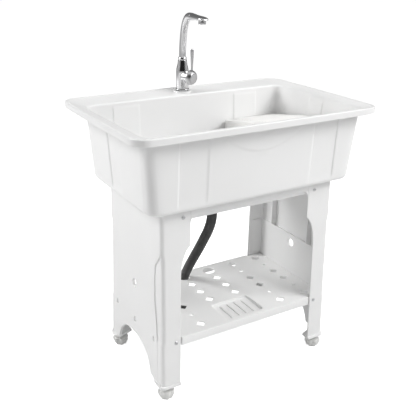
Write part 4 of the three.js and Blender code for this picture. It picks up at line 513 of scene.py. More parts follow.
outside_base = foot_ring(0, BOWL_BASE, 0.0)
basin_rings = [drain_ring(outside_base, DRAIN_HOLE, BOWL_BASE), drain_ring(outside_base, 60, BOWL_BASE)]
basin_rings += [foot_ring(d, BOWL_BASE, 0.0) for d in np.linspace(0, 90, 8)]
wall_heights = np.concatenate([[619.5, 626], np.arange(640, 736, 16), np.arange(738, 811, 3)])
basin_rings += [wall_ring(z) for z in wall_heights]
basin_rings.append(basin_ring(*bowl_size(812, -1.0), BOWL_CORNER, 813.0, 811.0))
basin_rings.append(basin_ring(*bowl_size(815, -4.0), BOWL_CORNER, 815.2, 812.4))
basin_rings.append(rim_ring(BASIN_WALL, RIM_UNDERSIDE))
basin_rings.append(rim_ring(BASIN_WALL, RIM_TOP - RIM_SKIRT + 0.5))
basin_rings.append(rim_ring(BASIN_WALL - 0.5, RIM_TOP - RIM_SKIRT))
basin_rings.append(rim_ring(0.8, RIM_TOP - RIM_SKIRT))
basin_rings.append(rim_ring(0.0, RIM_TOP - RIM_SKIRT + 0.8))
for degrees in np.linspace(0, 90, 7):
    a = math.radians(degrees)
    basin_rings.append(rim_ring(4 * (1 - math.cos(a)), RIM_TOP - 4 * (1 - math.sin(a))))
basin_rings += [rim_ring(BEAD_WIDTH - 1, RIM_TOP - 0.2), rim_ring(BEAD_WIDTH + 0.5, RIM_TOP - 0.7)]
basin_rings += [rim_ring(BEAD_WIDTH + 2.4, RIM_TOP - 1.9), rim_ring(BEAD_WIDTH + 4.5, RIM_PLATE_TOP)]
lip_rings = []
for degrees in np.linspace(0, 90, 8):
    a = math.radians(degrees)
    grow = BOWL_LIP_RADIUS * (1 - math.sin(a))
    drop = BOWL_LIP_RADIUS * (1 - math.cos(a))
    size = bowl_size(RIM_PLATE_TOP, BASIN_WALL - grow)
    corner_radius = BOWL_CORNER - BASIN_WALL + grow
    lip = basin_ring(*size, corner_radius, RIM_PLATE_TOP - END_FALL - drop, RIM_PLATE_TOP - DECK_FALL - drop)
    lip_rings.append(lip)
bead_foot = basin_rings[-1]
for share in np.linspace(0, 1, 34)[1:]:
    basin_rings.append(soap_dish(bead_foot + (lip_rings[0] - bead_foot) * share))
basin_rings += lip_rings[1:]
inside_heights = (811, 806, 802, 798, 794, 760, 730, 700, 670, 645, 630, 624)
basin_rings += [wall_ring(z, BASIN_WALL) for z in inside_heights]
basin_rings += [foot_ring(d, BOWL_BASE + BASIN_WALL, BASIN_WALL) for d in np.linspace(90, 0, 8)]
inside_base = basin_rings[-1]
for radius, share, z in ((110, 0.55, 602.4), (60, 1, 602.2), (42, 1, 602.0), (DRAIN_HOLE, 1, 602.0)):
    round_ring = drain_ring(inside_base, radius, z)
    basin_rings.append(inside_base + (round_ring - inside_base) * share)
basin_shapes = [skinned(basin_rings, closed=True)]


def round_corners(outline, radius, steps=4):
    """A closed outline in the plane with its corners rounded."""
    outline = np.asarray(outline, float)
    result = []
    for i, here in enumerate(outline):
        before, after = outline[i - 1], outline[(i + 1) % len(outline)]
        u, v = before - here, after - here
        lu, lv = np.linalg.norm(u), np.linalg.norm(v)
        cosine = np.clip(np.dot(u, v) / (lu * lv), -1, 1)
        if cosine < -0.985 or radius <= 0:
            result.append(here)
            continue
        half_angle = math.acos(cosine) / 2
        reach = min(radius / math.tan(half_angle), 0.45 * lu, 0.45 * lv)
        start, end = here + u / lu * reach, here + v / lv * reach
        for t in np.linspace(0, 1, steps + 1):
            result.append((1 - t) ** 2 * start + 2 * t * (1 - t) * here + t**2 * end)
    return np.array(result)


def turned(profile, at=(0.0, 0.0, 0.0), round_by=0.0, sides=64, turn=None):
    """A turned shape about Z from its closed (radius, height) profile; turn places it."""
    profile = np.asarray(profile, float)
    if round_by:
        on_axis = [r < 0.01 for r, _ in profile]
        rounded = round_corners(profile, round_by)
        profile = rounded[rounded[:, 0] > -0.001]
        if any(on_axis):
            profile[profile[:, 0] < 0.02, 0] = 0.0
    a = all_turns(sides)
    rings = []
    for r, z in profile:
        ring = np.column_stack([r * np.cos(a), r * np.sin(a), np.full(sides, z)])
        if turn is not None:
            ring = ring @ np.asarray(turn).T
        rings.append(ring + np.asarray(at))
    return skinned(rings, closed=True)


def rounded_box(half_x, half_y, radius, centre=(0.0, 0.0), steps=6):
    a = np.linspace(0, np.pi / 2, steps + 1)
    points = []
    for sx, sy, start in ((-1, -1, np.pi), (1, -1, -np.pi / 2), (1, 1, 0), (-1, 1, np.pi / 2)):
        cx, cy = centre[0] + sx * (half_x - radius), centre[1] + sy * (half_y - radius)
        points += list(np.column_stack([cx + radius * np.cos(start + a), cy + radius * np.sin(start + a)]))
    return np.array(points)


def tube(inner, outer, low, high):
    """The profile of a plain tube or washer."""
    return [(inner, low), (outer, low), (outer, high), (inner, high)]


def level(outline, z):
    return np.column_stack([outline, np.full(len(outline), z)])


dish_tub = [
    level(rounded_box(DISH_HALF[0] + grow, DISH_HALF[1] + grow, DISH_CORNER + grow, (DISH_X, DISH_Y)), z)
    for grow, z in ((-1.0, 809.95), (1.2, 809.95), (2.25, 811.0), (2.25, 817.0))
]
basin_shapes.append(skinned(dish_tub))
basin_shapes.append(turned(tube(16, 29, 811.5, TAP_SEAT), at=(0, TAP_AXIS_Y, 0), round_by=1.4))
white_plastic = moulded("basin_plastic", (0.86, 0.86, 0.857), 0.33, grain=0.015, drift=0.01, coat=0.08)
fitted("moulded_basin", basin_shapes, white_plastic, "stand", ["basin"])


# ---------- washboard ----------
# A separate scrubbing board of slightly warmer plastic, with rounded ribs across it and a skirt
# round it. It slopes down to the back and lifts out of the bowl's right side.
BOARD_MIDDLE_X, BOARD_BACK_Y, BOARD_BACK_TOP = 234.5, 175.0, 718.0
BOARD_HALF_WIDTH, BOARD_HALF_LENGTH = 106.5, 198.0
BOARD_SLOPE = math.tan(math.radians(10.1))
BOARD_SKIRT = 26.0
BOARD_WALL = 4.0
BOARD_CORNER = 22.0
RIB_PITCH, RIB_COUNT, RIB_RISE, RIB_HALF_LENGTH = 16.0, 21, 3.2, 80.5


def on_slope(points):
    """Sets a board drawn flat, with its back edge at y = 0, on its slope in the bowl."""
    points = np.asarray(points, float).copy()
    points[:, 2] += BOARD_BACK_TOP - BOARD_SLOPE * points[:, 1]
    points[:, 0] += BOARD_MIDDLE_X
    points[:, 1] += BOARD_BACK_Y
    return points


def board_level(inset, z):
    outline = rounded_box(
        BOARD_HALF_WIDTH - inset,
        BOARD_HALF_LENGTH - inset,
        BOARD_CORNER - inset,
        (0, -BOARD_HALF_LENGTH),
        steps=10,
    )
    return on_slope(level(outline, z))


board_levels = [(8, -4), (5.2, -4.4), (BOARD_WALL, -6), (BOARD_WALL, 0.8 - BOARD_SKIRT)]
board_levels += [(3.2, -BOARD_SKIRT), (0.8, -BOARD_SKIRT), (0, 0.8 - BOARD_SKIRT), (0, -4)]
board_rings = [board_level(inset, z) for inset, z in board_levels]
for degrees in np.linspace(0, 90, 7)[1:]:
    a = math.radians(degrees)
    board_rings.append(board_level(4 * (1 - math.cos(a)), -4 + 4 * math.sin(a)))


def repeated(name, unit, places, material, unit_turn=(0, 0, 0)):
    """Geometry Nodes: a copy of one shape at each place, made real and given its material."""
    place_mesh = bpy.data.meshes.new(name)
    place_mesh.from_pydata([tuple(c * MM for c in place) for place in places], [], [])
    row = bpy.data.objects.new(name, place_mesh)
    unit_mesh = bpy.data.meshes.new(name + "_one")
    unit_points, unit_faces = unit
    unit_mesh.from_pydata([tuple(float(c) * MM for c in p) for p in unit_points], [], unit_faces)
    unit_object = bpy.data.objects.new(name + "_one", unit_mesh)
    for thing in (row, unit_object):
        bpy.context.scene.collection.objects.link(thing)
    tree = bpy.data.node_groups.new(name + "_row", "GeometryNodeTree")
    wires = tree.interface
    wires.new_socket("Places", in_out="INPUT", socket_type="NodeSocketGeometry")
    shape_socket = wires.new_socket("Shape", in_out="INPUT", socket_type="NodeSocketObject")
    turn_socket = wires.new_socket("Turn", in_out="INPUT", socket_type="NodeSocketVector")
    wires.new_socket("Row", in_out="OUTPUT", socket_type="NodeSocketGeometry")
    start = wired(tree, "NodeGroupInput")
    shape_info = wired(tree, "GeometryNodeObjectInfo", {"Object": start.outputs["Shape"]})
    as_turn = wired(tree, "FunctionNodeEulerToRotation", {"Euler": start.outputs["Turn"]})
    copying = {
        "Points": start.outputs["Places"],
        "Instance": shape_info.outputs["Geometry"],
        "Rotation": as_turn.outputs["Rotation"],
    }
    copies = wired(tree, "GeometryNodeInstanceOnPoints", copying).outputs["Instances"]
    real = wired(tree, "GeometryNodeRealizeInstances", {"Geometry": copies}).outputs["Geometry"]
    paint = wired(tree, "GeometryNodeSetMaterial", {"Geometry": real, "Material": material})
    wired(tree, "NodeGroupOutput", {"Row": paint.outputs["Geometry"]})
    maker = row.modifiers.new("row", "NODES")
    maker.node_group = tree
    maker[shape_socket.identifier] = unit_object
    maker[turn_socket.identifier] = unit_turn
    made = row.evaluated_get(bpy.context.evaluated_depsgraph_get())
    plain = bpy.data.meshes.new_from_object(made)
    row.modifiers.remove(maker)
    points = [tuple(c / MM for c in v.co) for v in plain.vertices]
    faces = [tuple(p.vertices) for p in plain.polygons]
    for thing in (row, unit_object):
        bpy.data.objects.remove(thing)
    return points, faces


# one rib: a wave across the board that runs out at both ends
across_rib = np.linspace(-RIB_PITCH / 2, RIB_PITCH / 2, 13)
rib_end = np.linspace(-RIB_HALF_LENGTH, -RIB_HALF_LENGTH + 7, 7)
along_rib = np.concatenate([[-RIB_HALF_LENGTH - 0.01], rib_end])
along_rib = np.concatenate([along_rib, np.linspace(-60, 60, 4), -along_rib[::-1]])
rib_rings = []
for x in along_rib:
    end_fade = math.sin(math.pi / 2 * min(1, max(0, (RIB_HALF_LENGTH - abs(x)) / 7))) ** 0.7
    crest = RIB_RISE * np.cos(np.pi * across_rib / RIB_PITCH) ** 2 * end_fade
    top = np.column_stack([np.full(13, x), across_rib, crest - 0.02 - BOARD_SLOPE * across_rib])
    base = np.array([[x, 8.0, -1.5 - BOARD_SLOPE * 8], [x, -8.0, -1.5 + BOARD_SLOPE * 8]])
    rib_rings.append(np.vstack([top, base]))
first_rib = -BOARD_HALF_LENGTH + (RIB_COUNT - 1) / 2 * RIB_PITCH
rib_places = on_slope([(0, first_rib - i * RIB_PITCH, 0) for i in range(RIB_COUNT)])
board_plastic = moulded("board_plastic", (0.865, 0.86, 0.845), 0.38, grain=0.02, drift=0.008)
scrubbing_ribs = repeated("scrubbing_ribs", skinned(rib_rings), rib_places, board_plastic)
board_shapes = [skinned(board_rings), scrubbing_ribs]
fitted("washboard_ribbed", board_shapes, board_plastic, "washboard", ["washboard"], crease=40)

# moulded ledges under the board's two short edges, which belong to the basin
ledge_shapes = []
for near, far in ((-11.0, 2.2), (-398.5, -385.0)):
    half, middle = (far - near) / 2, (0, (near + far) / 2)
    ledge = []
    for i, z in ((0.8, 0), (0, 0.8), (0, 9.2), (0.8, 10)):
        ledge.append(level(rounded_box(90 - i, half - i, 2, middle), z))
    ledge_shapes.append(skinned([on_slope(ring - [0, 0, BOARD_SKIRT + 10.3]) for ring in ledge]))
fitted("board_ledges", ledge_shapes, white_plastic, "stand", [])


# ---------- side panels ----------
# Two satin polypropylene mouldings carry the basin. Each is a tapered wall with a flange at its
# front and back, a proud field with a waist, an arch between its legs and proud bands at the
# foot and the top. Inside are a ledge, two upright ribs and a socket over each foot.
FOOT_HALF_LENGTH, TOP_HALF_LENGTH = 306.0, 297.5
FOOT_HALF_DEPTH, TOP_HALF_DEPTH = 184.5, 169.0
PANEL_CORNER = 12.0
PANEL_LOW, PANEL_HIGH = 39.0, 597.7
SIDE_SHARE = 165.0
CORNER_RUN = PANEL_CORNER * math.pi / 2
FLANGE_CURVE = ((238.0, 385.0), (238.0, 440.0), (222.0, 476.0), (206.0, 485.0))
FLANGE_FOOT_EDGE, FLANGE_TOP_EDGE = 243.0, 206.0
FIELD_WIDTHS = (
    (0.097, 29),
    (0.371, 31),
    (0.532, 36),
    (0.656, 44.5),
    (0.788, 44.5),
    (0.889, 39),
    (0.955, 14),
)
FIELD_SHOULDER = 485.0
LEDGE = 342.0
ARCH_MIDDLE, ARCH_HALF, ARCH_RISE, ARCH_FOOT_DEGREES = 8.0, 118.0, 139.0, 17.6
PANEL_HOLE_RADIUS, PANEL_HOLE_HEIGHT = 14.0, 311.0
SLOT_HALF, SLOT_MIDDLE, SLOT_PLACES = (5.0, 8.5), 186.5, (-128.0, 0.0, 128.0)
EDGE_ROUND = 1.5
STUD_BORE = 5.35


def stand_half_length(z):
    return between(FOOT_HALF_LENGTH, TOP_HALF_LENGTH, z / BOWL_BASE)


def stand_half_depth(z):
    return between(FOOT_HALF_DEPTH, TOP_HALF_DEPTH, z / BOWL_BASE)


def foot_place(side, towards):
    """The middle of one foot; side is -1 at the left and towards is -1 at the front."""
    return side * (FOOT_HALF_LENGTH - 24), BASIN_MIDDLE_Y + towards * (FOOT_HALF_DEPTH - 20)


def stepped(loop, step, fine=None):
    """A closed outline with points no farther apart than a step, or a finer one in places."""
    loop = np.asarray(loop, float)
    result = []
    for i, here in enumerate(loop):
        after = loop[(i + 1) % len(loop)]
        size = step if fine is None else min(fine(here), fine(after), step)
        pieces = max(1, math.ceil(np.linalg.norm(after - here) / size - 1e-6))
        result += [here + (after - here) * k / pieces for k in range(pieces)]
    return np.array(result)


def drawn_in(loop, distance):
    """An outline moved to its left by a distance."""
    along = np.roll(loop, -1, axis=0) - np.roll(loop, 1, axis=0)
    along /= np.linalg.norm(along, axis=1)[:, None]
    return loop + distance * np.column_stack([-along[:, 1], along[:, 0]])


def is_inside(points, loop):
    x, y = points[:, 0], points[:, 1]
    inside = np.zeros(len(points), bool)
    for (ax, ay), (bx, by) in zip(loop, np.roll(loop, -1, axis=0)):
        if ay == by:
            continue
        crosses = (ay > y) != (by > y)
        inside ^= crosses & (x < (bx - ax) * (y - ay) / (by - ay) + ax)
    return inside


def cut_sheet(loops, extra, round_by):
    """Fills an outline, less its holes, with triangles that follow its rounded edge.

    The outline runs anticlockwise and the holes clockwise. Returns the points, how far each sinks
    at the rounded edge, the triangles, and each loop's own point numbers."""
    points, sinks, own = [], [], []
    for loop in loops:
        own.append(np.arange(len(points), len(points) + len(loop)))
        points += list(loop)
        sinks += [round_by] * len(loop)
    for share in (0.076, 0.293, 0.617, 1.0):
        d = share * round_by
        for loop in loops:
            points += list(drawn_in(loop, d))
            sinks += [round_by - math.sqrt(round_by**2 - (round_by - d) ** 2)] * len(loop)
    extra = np.asarray(extra, float)
    keep = is_inside(extra, loops[0])
    for loop in loops[1:]:
        keep &= ~is_inside(extra, loop)
    extra = extra[keep]
    edges = np.vstack(loops)
    nearest = np.full(len(extra), 1e9)
    for start in range(0, len(edges), 200):
        gap = extra[:, None] - edges[None, start : start + 200]
        nearest = np.minimum(nearest, np.sqrt((gap**2).sum(axis=2)).min(axis=1))
    extra = extra[nearest > round_by * 1.4]
    points += list(extra)
    sinks += [0.0] * len(extra)
    rims = [(int(ids[i]), int(ids[(i + 1) % len(ids)])) for ids in own for i in range(len(ids))]
    filled = delaunay_2d_cdt([Vector(p) for p in points], rims, [], 0, 1e-5)
    first = [origin[0] if origin else 0 for origin in filled[3]]
    triangles = np.array([tuple(first[i] for i in t) for t in filled[2]])
    points = np.array([tuple(p) for p in points])
    middles = points[triangles].mean(axis=1)
    keep = is_inside(middles, loops[0])
    for loop in loops[1:]:
        keep &= ~is_inside(middles, loop)
    return points, np.array(sinks), triangles[keep], own


def both_faces(sheet, upper, lower):
    """A closed plate from a cut sheet; upper and lower give the two faces' places in space."""
    points, sinks, triangles, own = sheet
    count = len(points)
    solid = np.vstack([upper(points, sinks), lower(points, sinks)])
    faces = [tuple(t) for t in triangles] + [tuple(count + i for i in t[::-1]) for t in triangles]
    for ids in own:
        for a, b in zip(ids, np.roll(ids, -1)):
            faces.append((int(a), int(b), count + int(b), count + int(a)))
    return solid, faces


def flat_face(height, lean, at=(0, 0, 0)):
    """Lays one face of a cut sheet flat at a height; its rounded edge sinks the way of lean."""

    def place(points, sinks):
        return np.column_stack([points, height + lean * sinks]) + at

    return place


def round_hole(x, y, radius, turns):
    """The outline of a round hole, clockwise."""
    return np.array([(x + radius * math.cos(-t), y + radius * math.sin(-t)) for t in turns])


def grid(us, vs):
    return np.array([(u, v) for v in vs for u in us])


def flange_edge(z):
    z = np.asarray(z, float)
    t = np.linspace(0, 1, 40)
    p = [np.array(c) for c in FLANGE_CURVE]
    curve = []
    for s in t:
        near_part = (1 - s) ** 3 * p[0] + 3 * s * (1 - s) ** 2 * p[1]
        curve.append(near_part + 3 * s * s * (1 - s) * p[2] + s**3 * p[3])
    curve = np.array(curve)
    heights = np.concatenate([[29.0], curve[:, 1], [485.5]])
    edges = np.concatenate([[FLANGE_FOOT_EDGE], curve[:, 0], [FLANGE_TOP_EDGE]])
    return np.interp(z, heights, edges)


def side_place(y, z):
    """Where a point of a panel's side lies on the unrolled panel."""
    return y * SIDE_SHARE / (stand_half_depth(z) - PANEL_CORNER)


def flange_place(x, z):
    return SIDE_SHARE + CORNER_RUN + stand_half_length(z) - PANEL_CORNER - x


def field_edge(z):
    heights = [share * FIELD_SHOULDER for share, width in FIELD_WIDTHS]
    edges = [stand_half_depth(share * FIELD_SHOULDER) - width for share, width in FIELD_WIDTHS]
    heights += [FIELD_SHOULDER, PANEL_HIGH]
    edges += [stand_half_depth(FIELD_SHOULDER) - PANEL_CORNER, stand_half_depth(PANEL_HIGH) - PANEL_CORNER]
    return np.interp(z, heights, edges)


def unrolled(points):
    """Splits places on the unrolled panel into the path in space and its outward turn."""
    u, z = points[:, 0], points[:, 1]
    side, m = np.where(u < 0, -1.0, 1.0), np.abs(u)
    half, depth = stand_half_length(z), stand_half_depth(z)
    turn = np.clip((m - SIDE_SHARE) / PANEL_CORNER, 0, math.pi / 2)
    beyond = np.clip(m - SIDE_SHARE - CORNER_RUN, 0, None)
    y = np.minimum(m / SIDE_SHARE, 1) * (depth - PANEL_CORNER)
    return half, y, side, turn, beyond, z


def panel_outside(points, sinks):
    half, y, side, turn, beyond, z = unrolled(points)
    lip = np.interp(z, (39, 40.2, 41.4, 46.8, 48.2, 49.3), (3.0, 4.2, 4.5, 4.5, 3.9, 0.0))
    lip += np.interp(z, (592.4, 593.2, 594.2, 596.6, 597.7), (0.0, 1.6, 2.0, 2.0, 1.4))
    recess = np.interp(z, (188, 198, 458, 474), (1.2, 3.2, 3.2, 0.0)) * np.where(z < 48.5, 0, 1)
    recess *= smooth(0.2, 2.4, y - field_edge(z) + 0.6) * (1 - np.clip(beyond / 30, 0, 1))
    reach = PANEL_CORNER + lip - sinks
    x = half - PANEL_CORNER - recess + reach * np.cos(turn) - beyond
    return np.column_stack([x, BASIN_MIDDLE_Y + side * (y + reach * np.sin(turn)), z])


def panel_inside(points, sinks):
    half, y, side, turn, beyond, z = unrolled(points)
    low = 1 - smooth(LEDGE - 0.7, LEDGE + 0.7, z)
    pocket = smooth(LEDGE - 0.7, LEDGE + 0.7, z) * (1 - smooth(587, 588.4, z)) * (1 - smooth(98.1, 99.1, y))
    wall = 6.2 - 3.2 * pocket + 2.8 * low
    on_flange = 5.0 + 4.0 * low * (1 - smooth(39.0, 41.0, beyond))
    thick = wall + (on_flange - wall) * turn / (math.pi / 2)
    reach = PANEL_CORNER - thick + sinks
    x = half - PANEL_CORNER + reach * np.cos(turn) - beyond
    return np.column_stack([x, BASIN_MIDDLE_Y + side * (y + reach * np.sin(turn)), z])


def block(xs, ys, zs, round_by=0.6):
    """A bar or plate with softly rounded edges."""
    half_x, half_y = (xs[1] - xs[0]) / 2, (ys[1] - ys[0]) / 2
    centre = ((xs[1] + xs[0]) / 2, (ys[1] + ys[0]) / 2)
    r = min(round_by, half_x * 0.9, half_y * 0.9, (zs[1] - zs[0]) * 0.45)
    low, high = zs
    levels = [(r, low), (0.3 * r, low + 0.3 * r), (0, low + r)]
    levels += [(0, high - r), (0.3 * r, high - 0.3 * r), (r, high)]
    rings = []
    for inset, z in levels:
        rings.append(level(rounded_box(half_x - inset, half_y - inset, r * 1.001, centre, steps=3), z))
    return skinned(rings)


flange_heights = [*np.linspace(PANEL_LOW, 385, 60), *np.linspace(387, 485, 34), PANEL_HIGH]
flange_line = [(flange_place(flange_edge(z), z), z) for z in flange_heights]
arch_turns = np.radians(np.linspace(180 - ARCH_FOOT_DEGREES, ARCH_FOOT_DEGREES, 61))
arch_line = []
for a in arch_turns:
    z = ARCH_RISE * abs(math.sin(a)) ** 0.8
    y = ARCH_MIDDLE + ARCH_HALF * math.copysign(abs(math.cos(a)) ** 0.8, math.cos(a))
    arch_line.append((side_place(y, z), z))
panel_line = [(-SIDE_SHARE, PANEL_LOW), *arch_line, (SIDE_SHARE, PANEL_LOW), *flange_line]
panel_line += [(-u, z) for u, z in reversed(flange_line)]


def near_bands(point):
    return 1.3 if point[1] < 51 or point[1] > 590 else 5.0


panel_loops = [stepped(round_corners(panel_line, 3.0), 5.0, near_bands)]
turns = np.linspace(0, 2 * np.pi, 49)[:-1]
hole_line = round_hole(0, PANEL_HOLE_HEIGHT, PANEL_HOLE_RADIUS, turns)
panel_loops.append(np.array([(side_place(y, z), z) for y, z in hole_line]))
for place in SLOT_PLACES:
    slot_line = rounded_box(*SLOT_HALF, 2.0, (place, SLOT_MIDDLE), steps=4)[::-1]
    slot_line[:, 0] = side_place(slot_line[:, 0], slot_line[:, 1])
    panel_loops.append(stepped(slot_line, 2.5))
across = [SIDE_SHARE + CORNER_RUN * k / 8 for k in range(9)]
across += list(np.arange(192, 280, 6.5)) + [side_place(98.1, 480), side_place(99.1, 480)]
across += list(np.arange(0, 162, 6.5))
across = np.array(sorted({round(a, 2) for a in across}))
across = np.concatenate([-across[::-1], across[across > 0.5]])
rows = [39.6, 40.2, 41.4, 43, 45, 46.8, 47.5, 48.2, 48.7, 49.3, 51, 188, 191, 194, 198, 201]
rows += [341.0, 341.5, 342.0, 342.5, 343.0, 455, 458, 461, 464, 467, 470, 474, 477, 586.8, 587.4, 588, 588.6]
rows += [591.6, 592.4, 592.8, 593.2, 593.7, 594.2, 595.4, 596.6, 597.1]
for low, high in ((55, 186), (206, 338), (350, 452), (482, 585)):
    rows += list(np.arange(low, high, 8))
rows = np.unique(rows)
panel_extra = [grid(across, rows)]
for z in np.arange(52, 472, 3.0):
    edge = float(field_edge(z))
    ys = np.array([edge - 1.2, edge - 0.1, edge + 0.7, edge + 1.6, edge + 2.4])
    near = side_place(ys, z)
    panel_extra.append(np.column_stack([near, np.full(5, z)]))
    panel_extra.append(np.column_stack([-near, np.full(5, z + 0.01)]))
panel_sheet = cut_sheet(panel_loops, np.vstack(panel_extra), EDGE_ROUND)
panel_shapes = [both_faces(panel_sheet, panel_outside, panel_inside)]
for towards in (-1, 1):
    rib_y = BASIN_MIDDLE_Y + towards * 95
    rib_side = [(278.0, 350.0), (stand_half_length(338) - 1.5, 338.0)]
    rib_side += [(stand_half_length(596) - 1.5, 596.0), (278.0, 596.0)]
    rib_side = round_corners(rib_side, 1.5)
    rib_rings = []
    for t in (-1.8, 1.8):
        rib_rings.append(np.insert(rib_side, 1, rib_y + t, axis=1))
    panel_shapes.append(skinned(rib_rings))
    foot_x, foot_y = foot_place(1, towards)
    wall_x, wall_y = stand_half_length(39) - 4.7, stand_half_depth(39) - 2.5
    plate_line = [(245.0, wall_y), (wall_x, wall_y), (wall_x, wall_y - 47), (245.0, wall_y - 28)]
    plate_line = np.array([(x, BASIN_MIDDLE_Y + towards * y) for x, y in plate_line])
    if towards > 0:
        plate_line = plate_line[::-1]
    stud_bore = round_hole(foot_x, foot_y, STUD_BORE, turns[::2])
    socket_loops = [stepped(round_corners(plate_line, 2.0), 6.0), stud_bore]
    socket = cut_sheet(socket_loops, grid([0.0], [0.0]), 0.8)
    panel_shapes.append(both_faces(socket, flat_face(46.0, -1), flat_face(39.2, 1)))
    socket_tube = tube(STUD_BORE, 11.5, 44, 69)
    panel_shapes.append(turned(socket_tube, (foot_x, foot_y, 0), round_by=0.7, sides=40))
stand_plastic = moulded("stand_plastic", (0.855, 0.855, 0.852), 0.45, grain=0.05)
for side_name, side in (("left", -1), ("right", 1)):
    side_shapes = [(np.asarray(points) * (side, 1, 1), faces) for points, faces in panel_shapes]
    fitted(f"{side_name}_panel_moulding", side_shapes, stand_plastic, "stand", [f"{side_name}_side_panel"])


# ---------- rails ----------
# A rail at the front and one at the back tie the panels together under the basin. Each face
# drops in a quarter round at both ends, and its tongues are screwed behind the flanges.
RAIL_HALF, RAIL_LOW, RAIL_DROP_RADIUS = 205.7, 573.0, 22.0
RAIL_FACE_Y, RAIL_THICK = 169.65, 7.0
quarter = np.radians(np.linspace(180, 90, 12))
left_drop = []
for a in quarter:
    x = -RAIL_HALF + RAIL_DROP_RADIUS + RAIL_DROP_RADIUS * math.cos(a)
    left_drop.append((x, RAIL_LOW - RAIL_DROP_RADIUS + RAIL_DROP_RADIUS * math.sin(a)))
rail_line = [(-x, z) for x, z in left_drop] + [(RAIL_HALF, PANEL_HIGH), (-RAIL_HALF, PANEL_HIGH)]
rail_line = left_drop + rail_line[: len(left_drop)][::-1] + rail_line[len(left_drop) :]
rail_line = stepped(round_corners(rail_line, 1.6), 6.0)
rail_rows = grid(np.arange(-200, 201, 10.0), np.arange(577, 596, 5.0))
rail_sheet = cut_sheet([rail_line], rail_rows, 1.3)
for rail_name, towards in (("front_rail", -1), ("rear_rail", 1)):
    face_y = BASIN_MIDDLE_Y + towards * RAIL_FACE_Y
    back_y = face_y - towards * RAIL_THICK

    def rail_outside(p, sink):
        return np.column_stack([p[:, 0], face_y - towards * sink, p[:, 1]])

    def rail_inside(p, sink):
        return np.column_stack([p[:, 0], back_y + towards * sink, p[:, 1]])

    tongue = sorted((BASIN_MIDDLE_Y + towards * 158.18, BASIN_MIDDLE_Y + towards * 163.18))
    shelf_flange = sorted((BASIN_MIDDLE_Y + towards * 137.18, BASIN_MIDDLE_Y + towards * 163.0))
    rail_shapes = [both_faces(rail_sheet, rail_outside, rail_inside)]
    rail_shapes.append(block((-241.7, 241.7), tongue, (561, 597.6), 1.0))
    rail_shapes.append(block((-205.6, 205.6), shelf_flange, (592.7, 597.5), 1.0))
    fitted(rail_name + "_moulding", rail_shapes, stand_plastic, "stand", [rail_name])


# ---------- shelf ----------
# A moulded shelf with square holes set cornerwise, two round ones for the hose, a sunk and ribbed
# soap tray near its front, a skirt all round, and tabs that hook into the panels' slots.
SHELF_TOP, SHELF_PLATE, SHELF_LOW = 200.0, 4.0, 173.0
SHELF_HALF, SHELF_LIP_Y, SHELF_LIP_HALF = (293.86, 170.02), 179.3, 237.0
HOLE_PITCH = (99.54, 56.01)
HOLE_REACH, SMALL_HOLE_REACH, HOSE_HOLE_RADIUS = 15.5, 7.0, 20.0
TRAY_HALF, TRAY_MIDDLE_Y, TRAY_FLOOR = (68.0, 49.0), BASIN_MIDDLE_Y - 113.0, 192.0

half_x, half_y = SHELF_HALF
shelf_line = [(-half_x, -half_y), (-SHELF_LIP_HALF, -half_y), (-SHELF_LIP_HALF, -SHELF_LIP_Y)]
shelf_line += [(-x, y) for x, y in shelf_line[::-1]]
shelf_line += [(x, -y) for x, y in shelf_line[::-1]]
shelf_line = round_corners([(x, BASIN_MIDDLE_Y + y) for x, y in shelf_line], 6.0)
shelf_line = stepped(shelf_line, 6.0)


def shelf_hole(x, y, reach, round_by, sides=4):
    turn = -all_turns(sides)
    corners = np.column_stack([x + reach * np.cos(turn), y + reach * np.sin(turn)])
    return stepped(round_corners(corners, round_by), 4.0)


# the shelf is the stand's plastic painted lighter than the panels: painted light that makes up for the shade
# it lies in under the basin
shelf_plastic_lightened_for_shade = moulded("stand_plastic", (0.92, 0.92, 0.915), 0.42, grain=0.05)
shelf_loops = [shelf_line]
for row in (-2.5, -1.5, -0.5, 0.5, 1.5, 2.5):
    for column in (-2.5, -1.5, -0.5, 0.5, 1.5, 2.5):
        x, y = column * HOLE_PITCH[0], BASIN_MIDDLE_Y + row * HOLE_PITCH[1]
        if abs(x) < TRAY_HALF[0] and row < -1:
            continue
        if row == 2.5 and abs(column) == 0.5:
            shelf_loops.append(shelf_hole(x, y, HOSE_HOLE_RADIUS, 0, sides=48))
        elif abs(row) == 1.5 and abs(column) > 1:
            shelf_loops.append(shelf_hole(x, y, SMALL_HOLE_REACH, 1.5))
        else:
            shelf_loops.append(shelf_hole(x, y, HOLE_REACH, 3.0))
shelf_loops.append(stepped(rounded_box(*TRAY_HALF, 10, (0, TRAY_MIDDLE_Y))[::-1], 5.0))
shelf_grid = grid(np.arange(-288, 289, 9.0), np.arange(-196, 156, 9.0))
shelf_sheet = cut_sheet(shelf_loops, shelf_grid, 1.2)
shelf_under = flat_face(SHELF_TOP - SHELF_PLATE, 1)
shelf_shapes = [both_faces(shelf_sheet, flat_face(SHELF_TOP, -1), shelf_under)]
skirt_levels = [(0.05, SHELF_TOP - 3), (0.05, SHELF_LOW + 1), (0.35, SHELF_LOW + 0.3)]
skirt_levels += [(1.05, SHELF_LOW), (3.2, SHELF_LOW), (4.0, SHELF_LOW + 0.8), (4.0, SHELF_TOP - 3)]
shelf_shapes.append(skinned([level(drawn_in(shelf_line, i), z) for i, z in skirt_levels], closed=True))
tray_levels = [(2, 188), (3.4, 188.6), (4, 190), (4, 198.4)]
tray_levels += [(-0.2, 198.4), (-0.2, 195), (-1.0, TRAY_FLOOR + 1), (-3.0, TRAY_FLOOR)]
tray_rings = []
for grow, z in tray_levels:
    outline = rounded_box(TRAY_HALF[0] + grow, TRAY_HALF[1] + grow, 10 + grow, (0, TRAY_MIDDLE_Y))
    tray_rings.append(level(outline, z))
shelf_shapes.append(skinned(tray_rings))
tray_bar = block((-3.2, 3.2), (-37, 37), (-1, 2.8), 2.6)
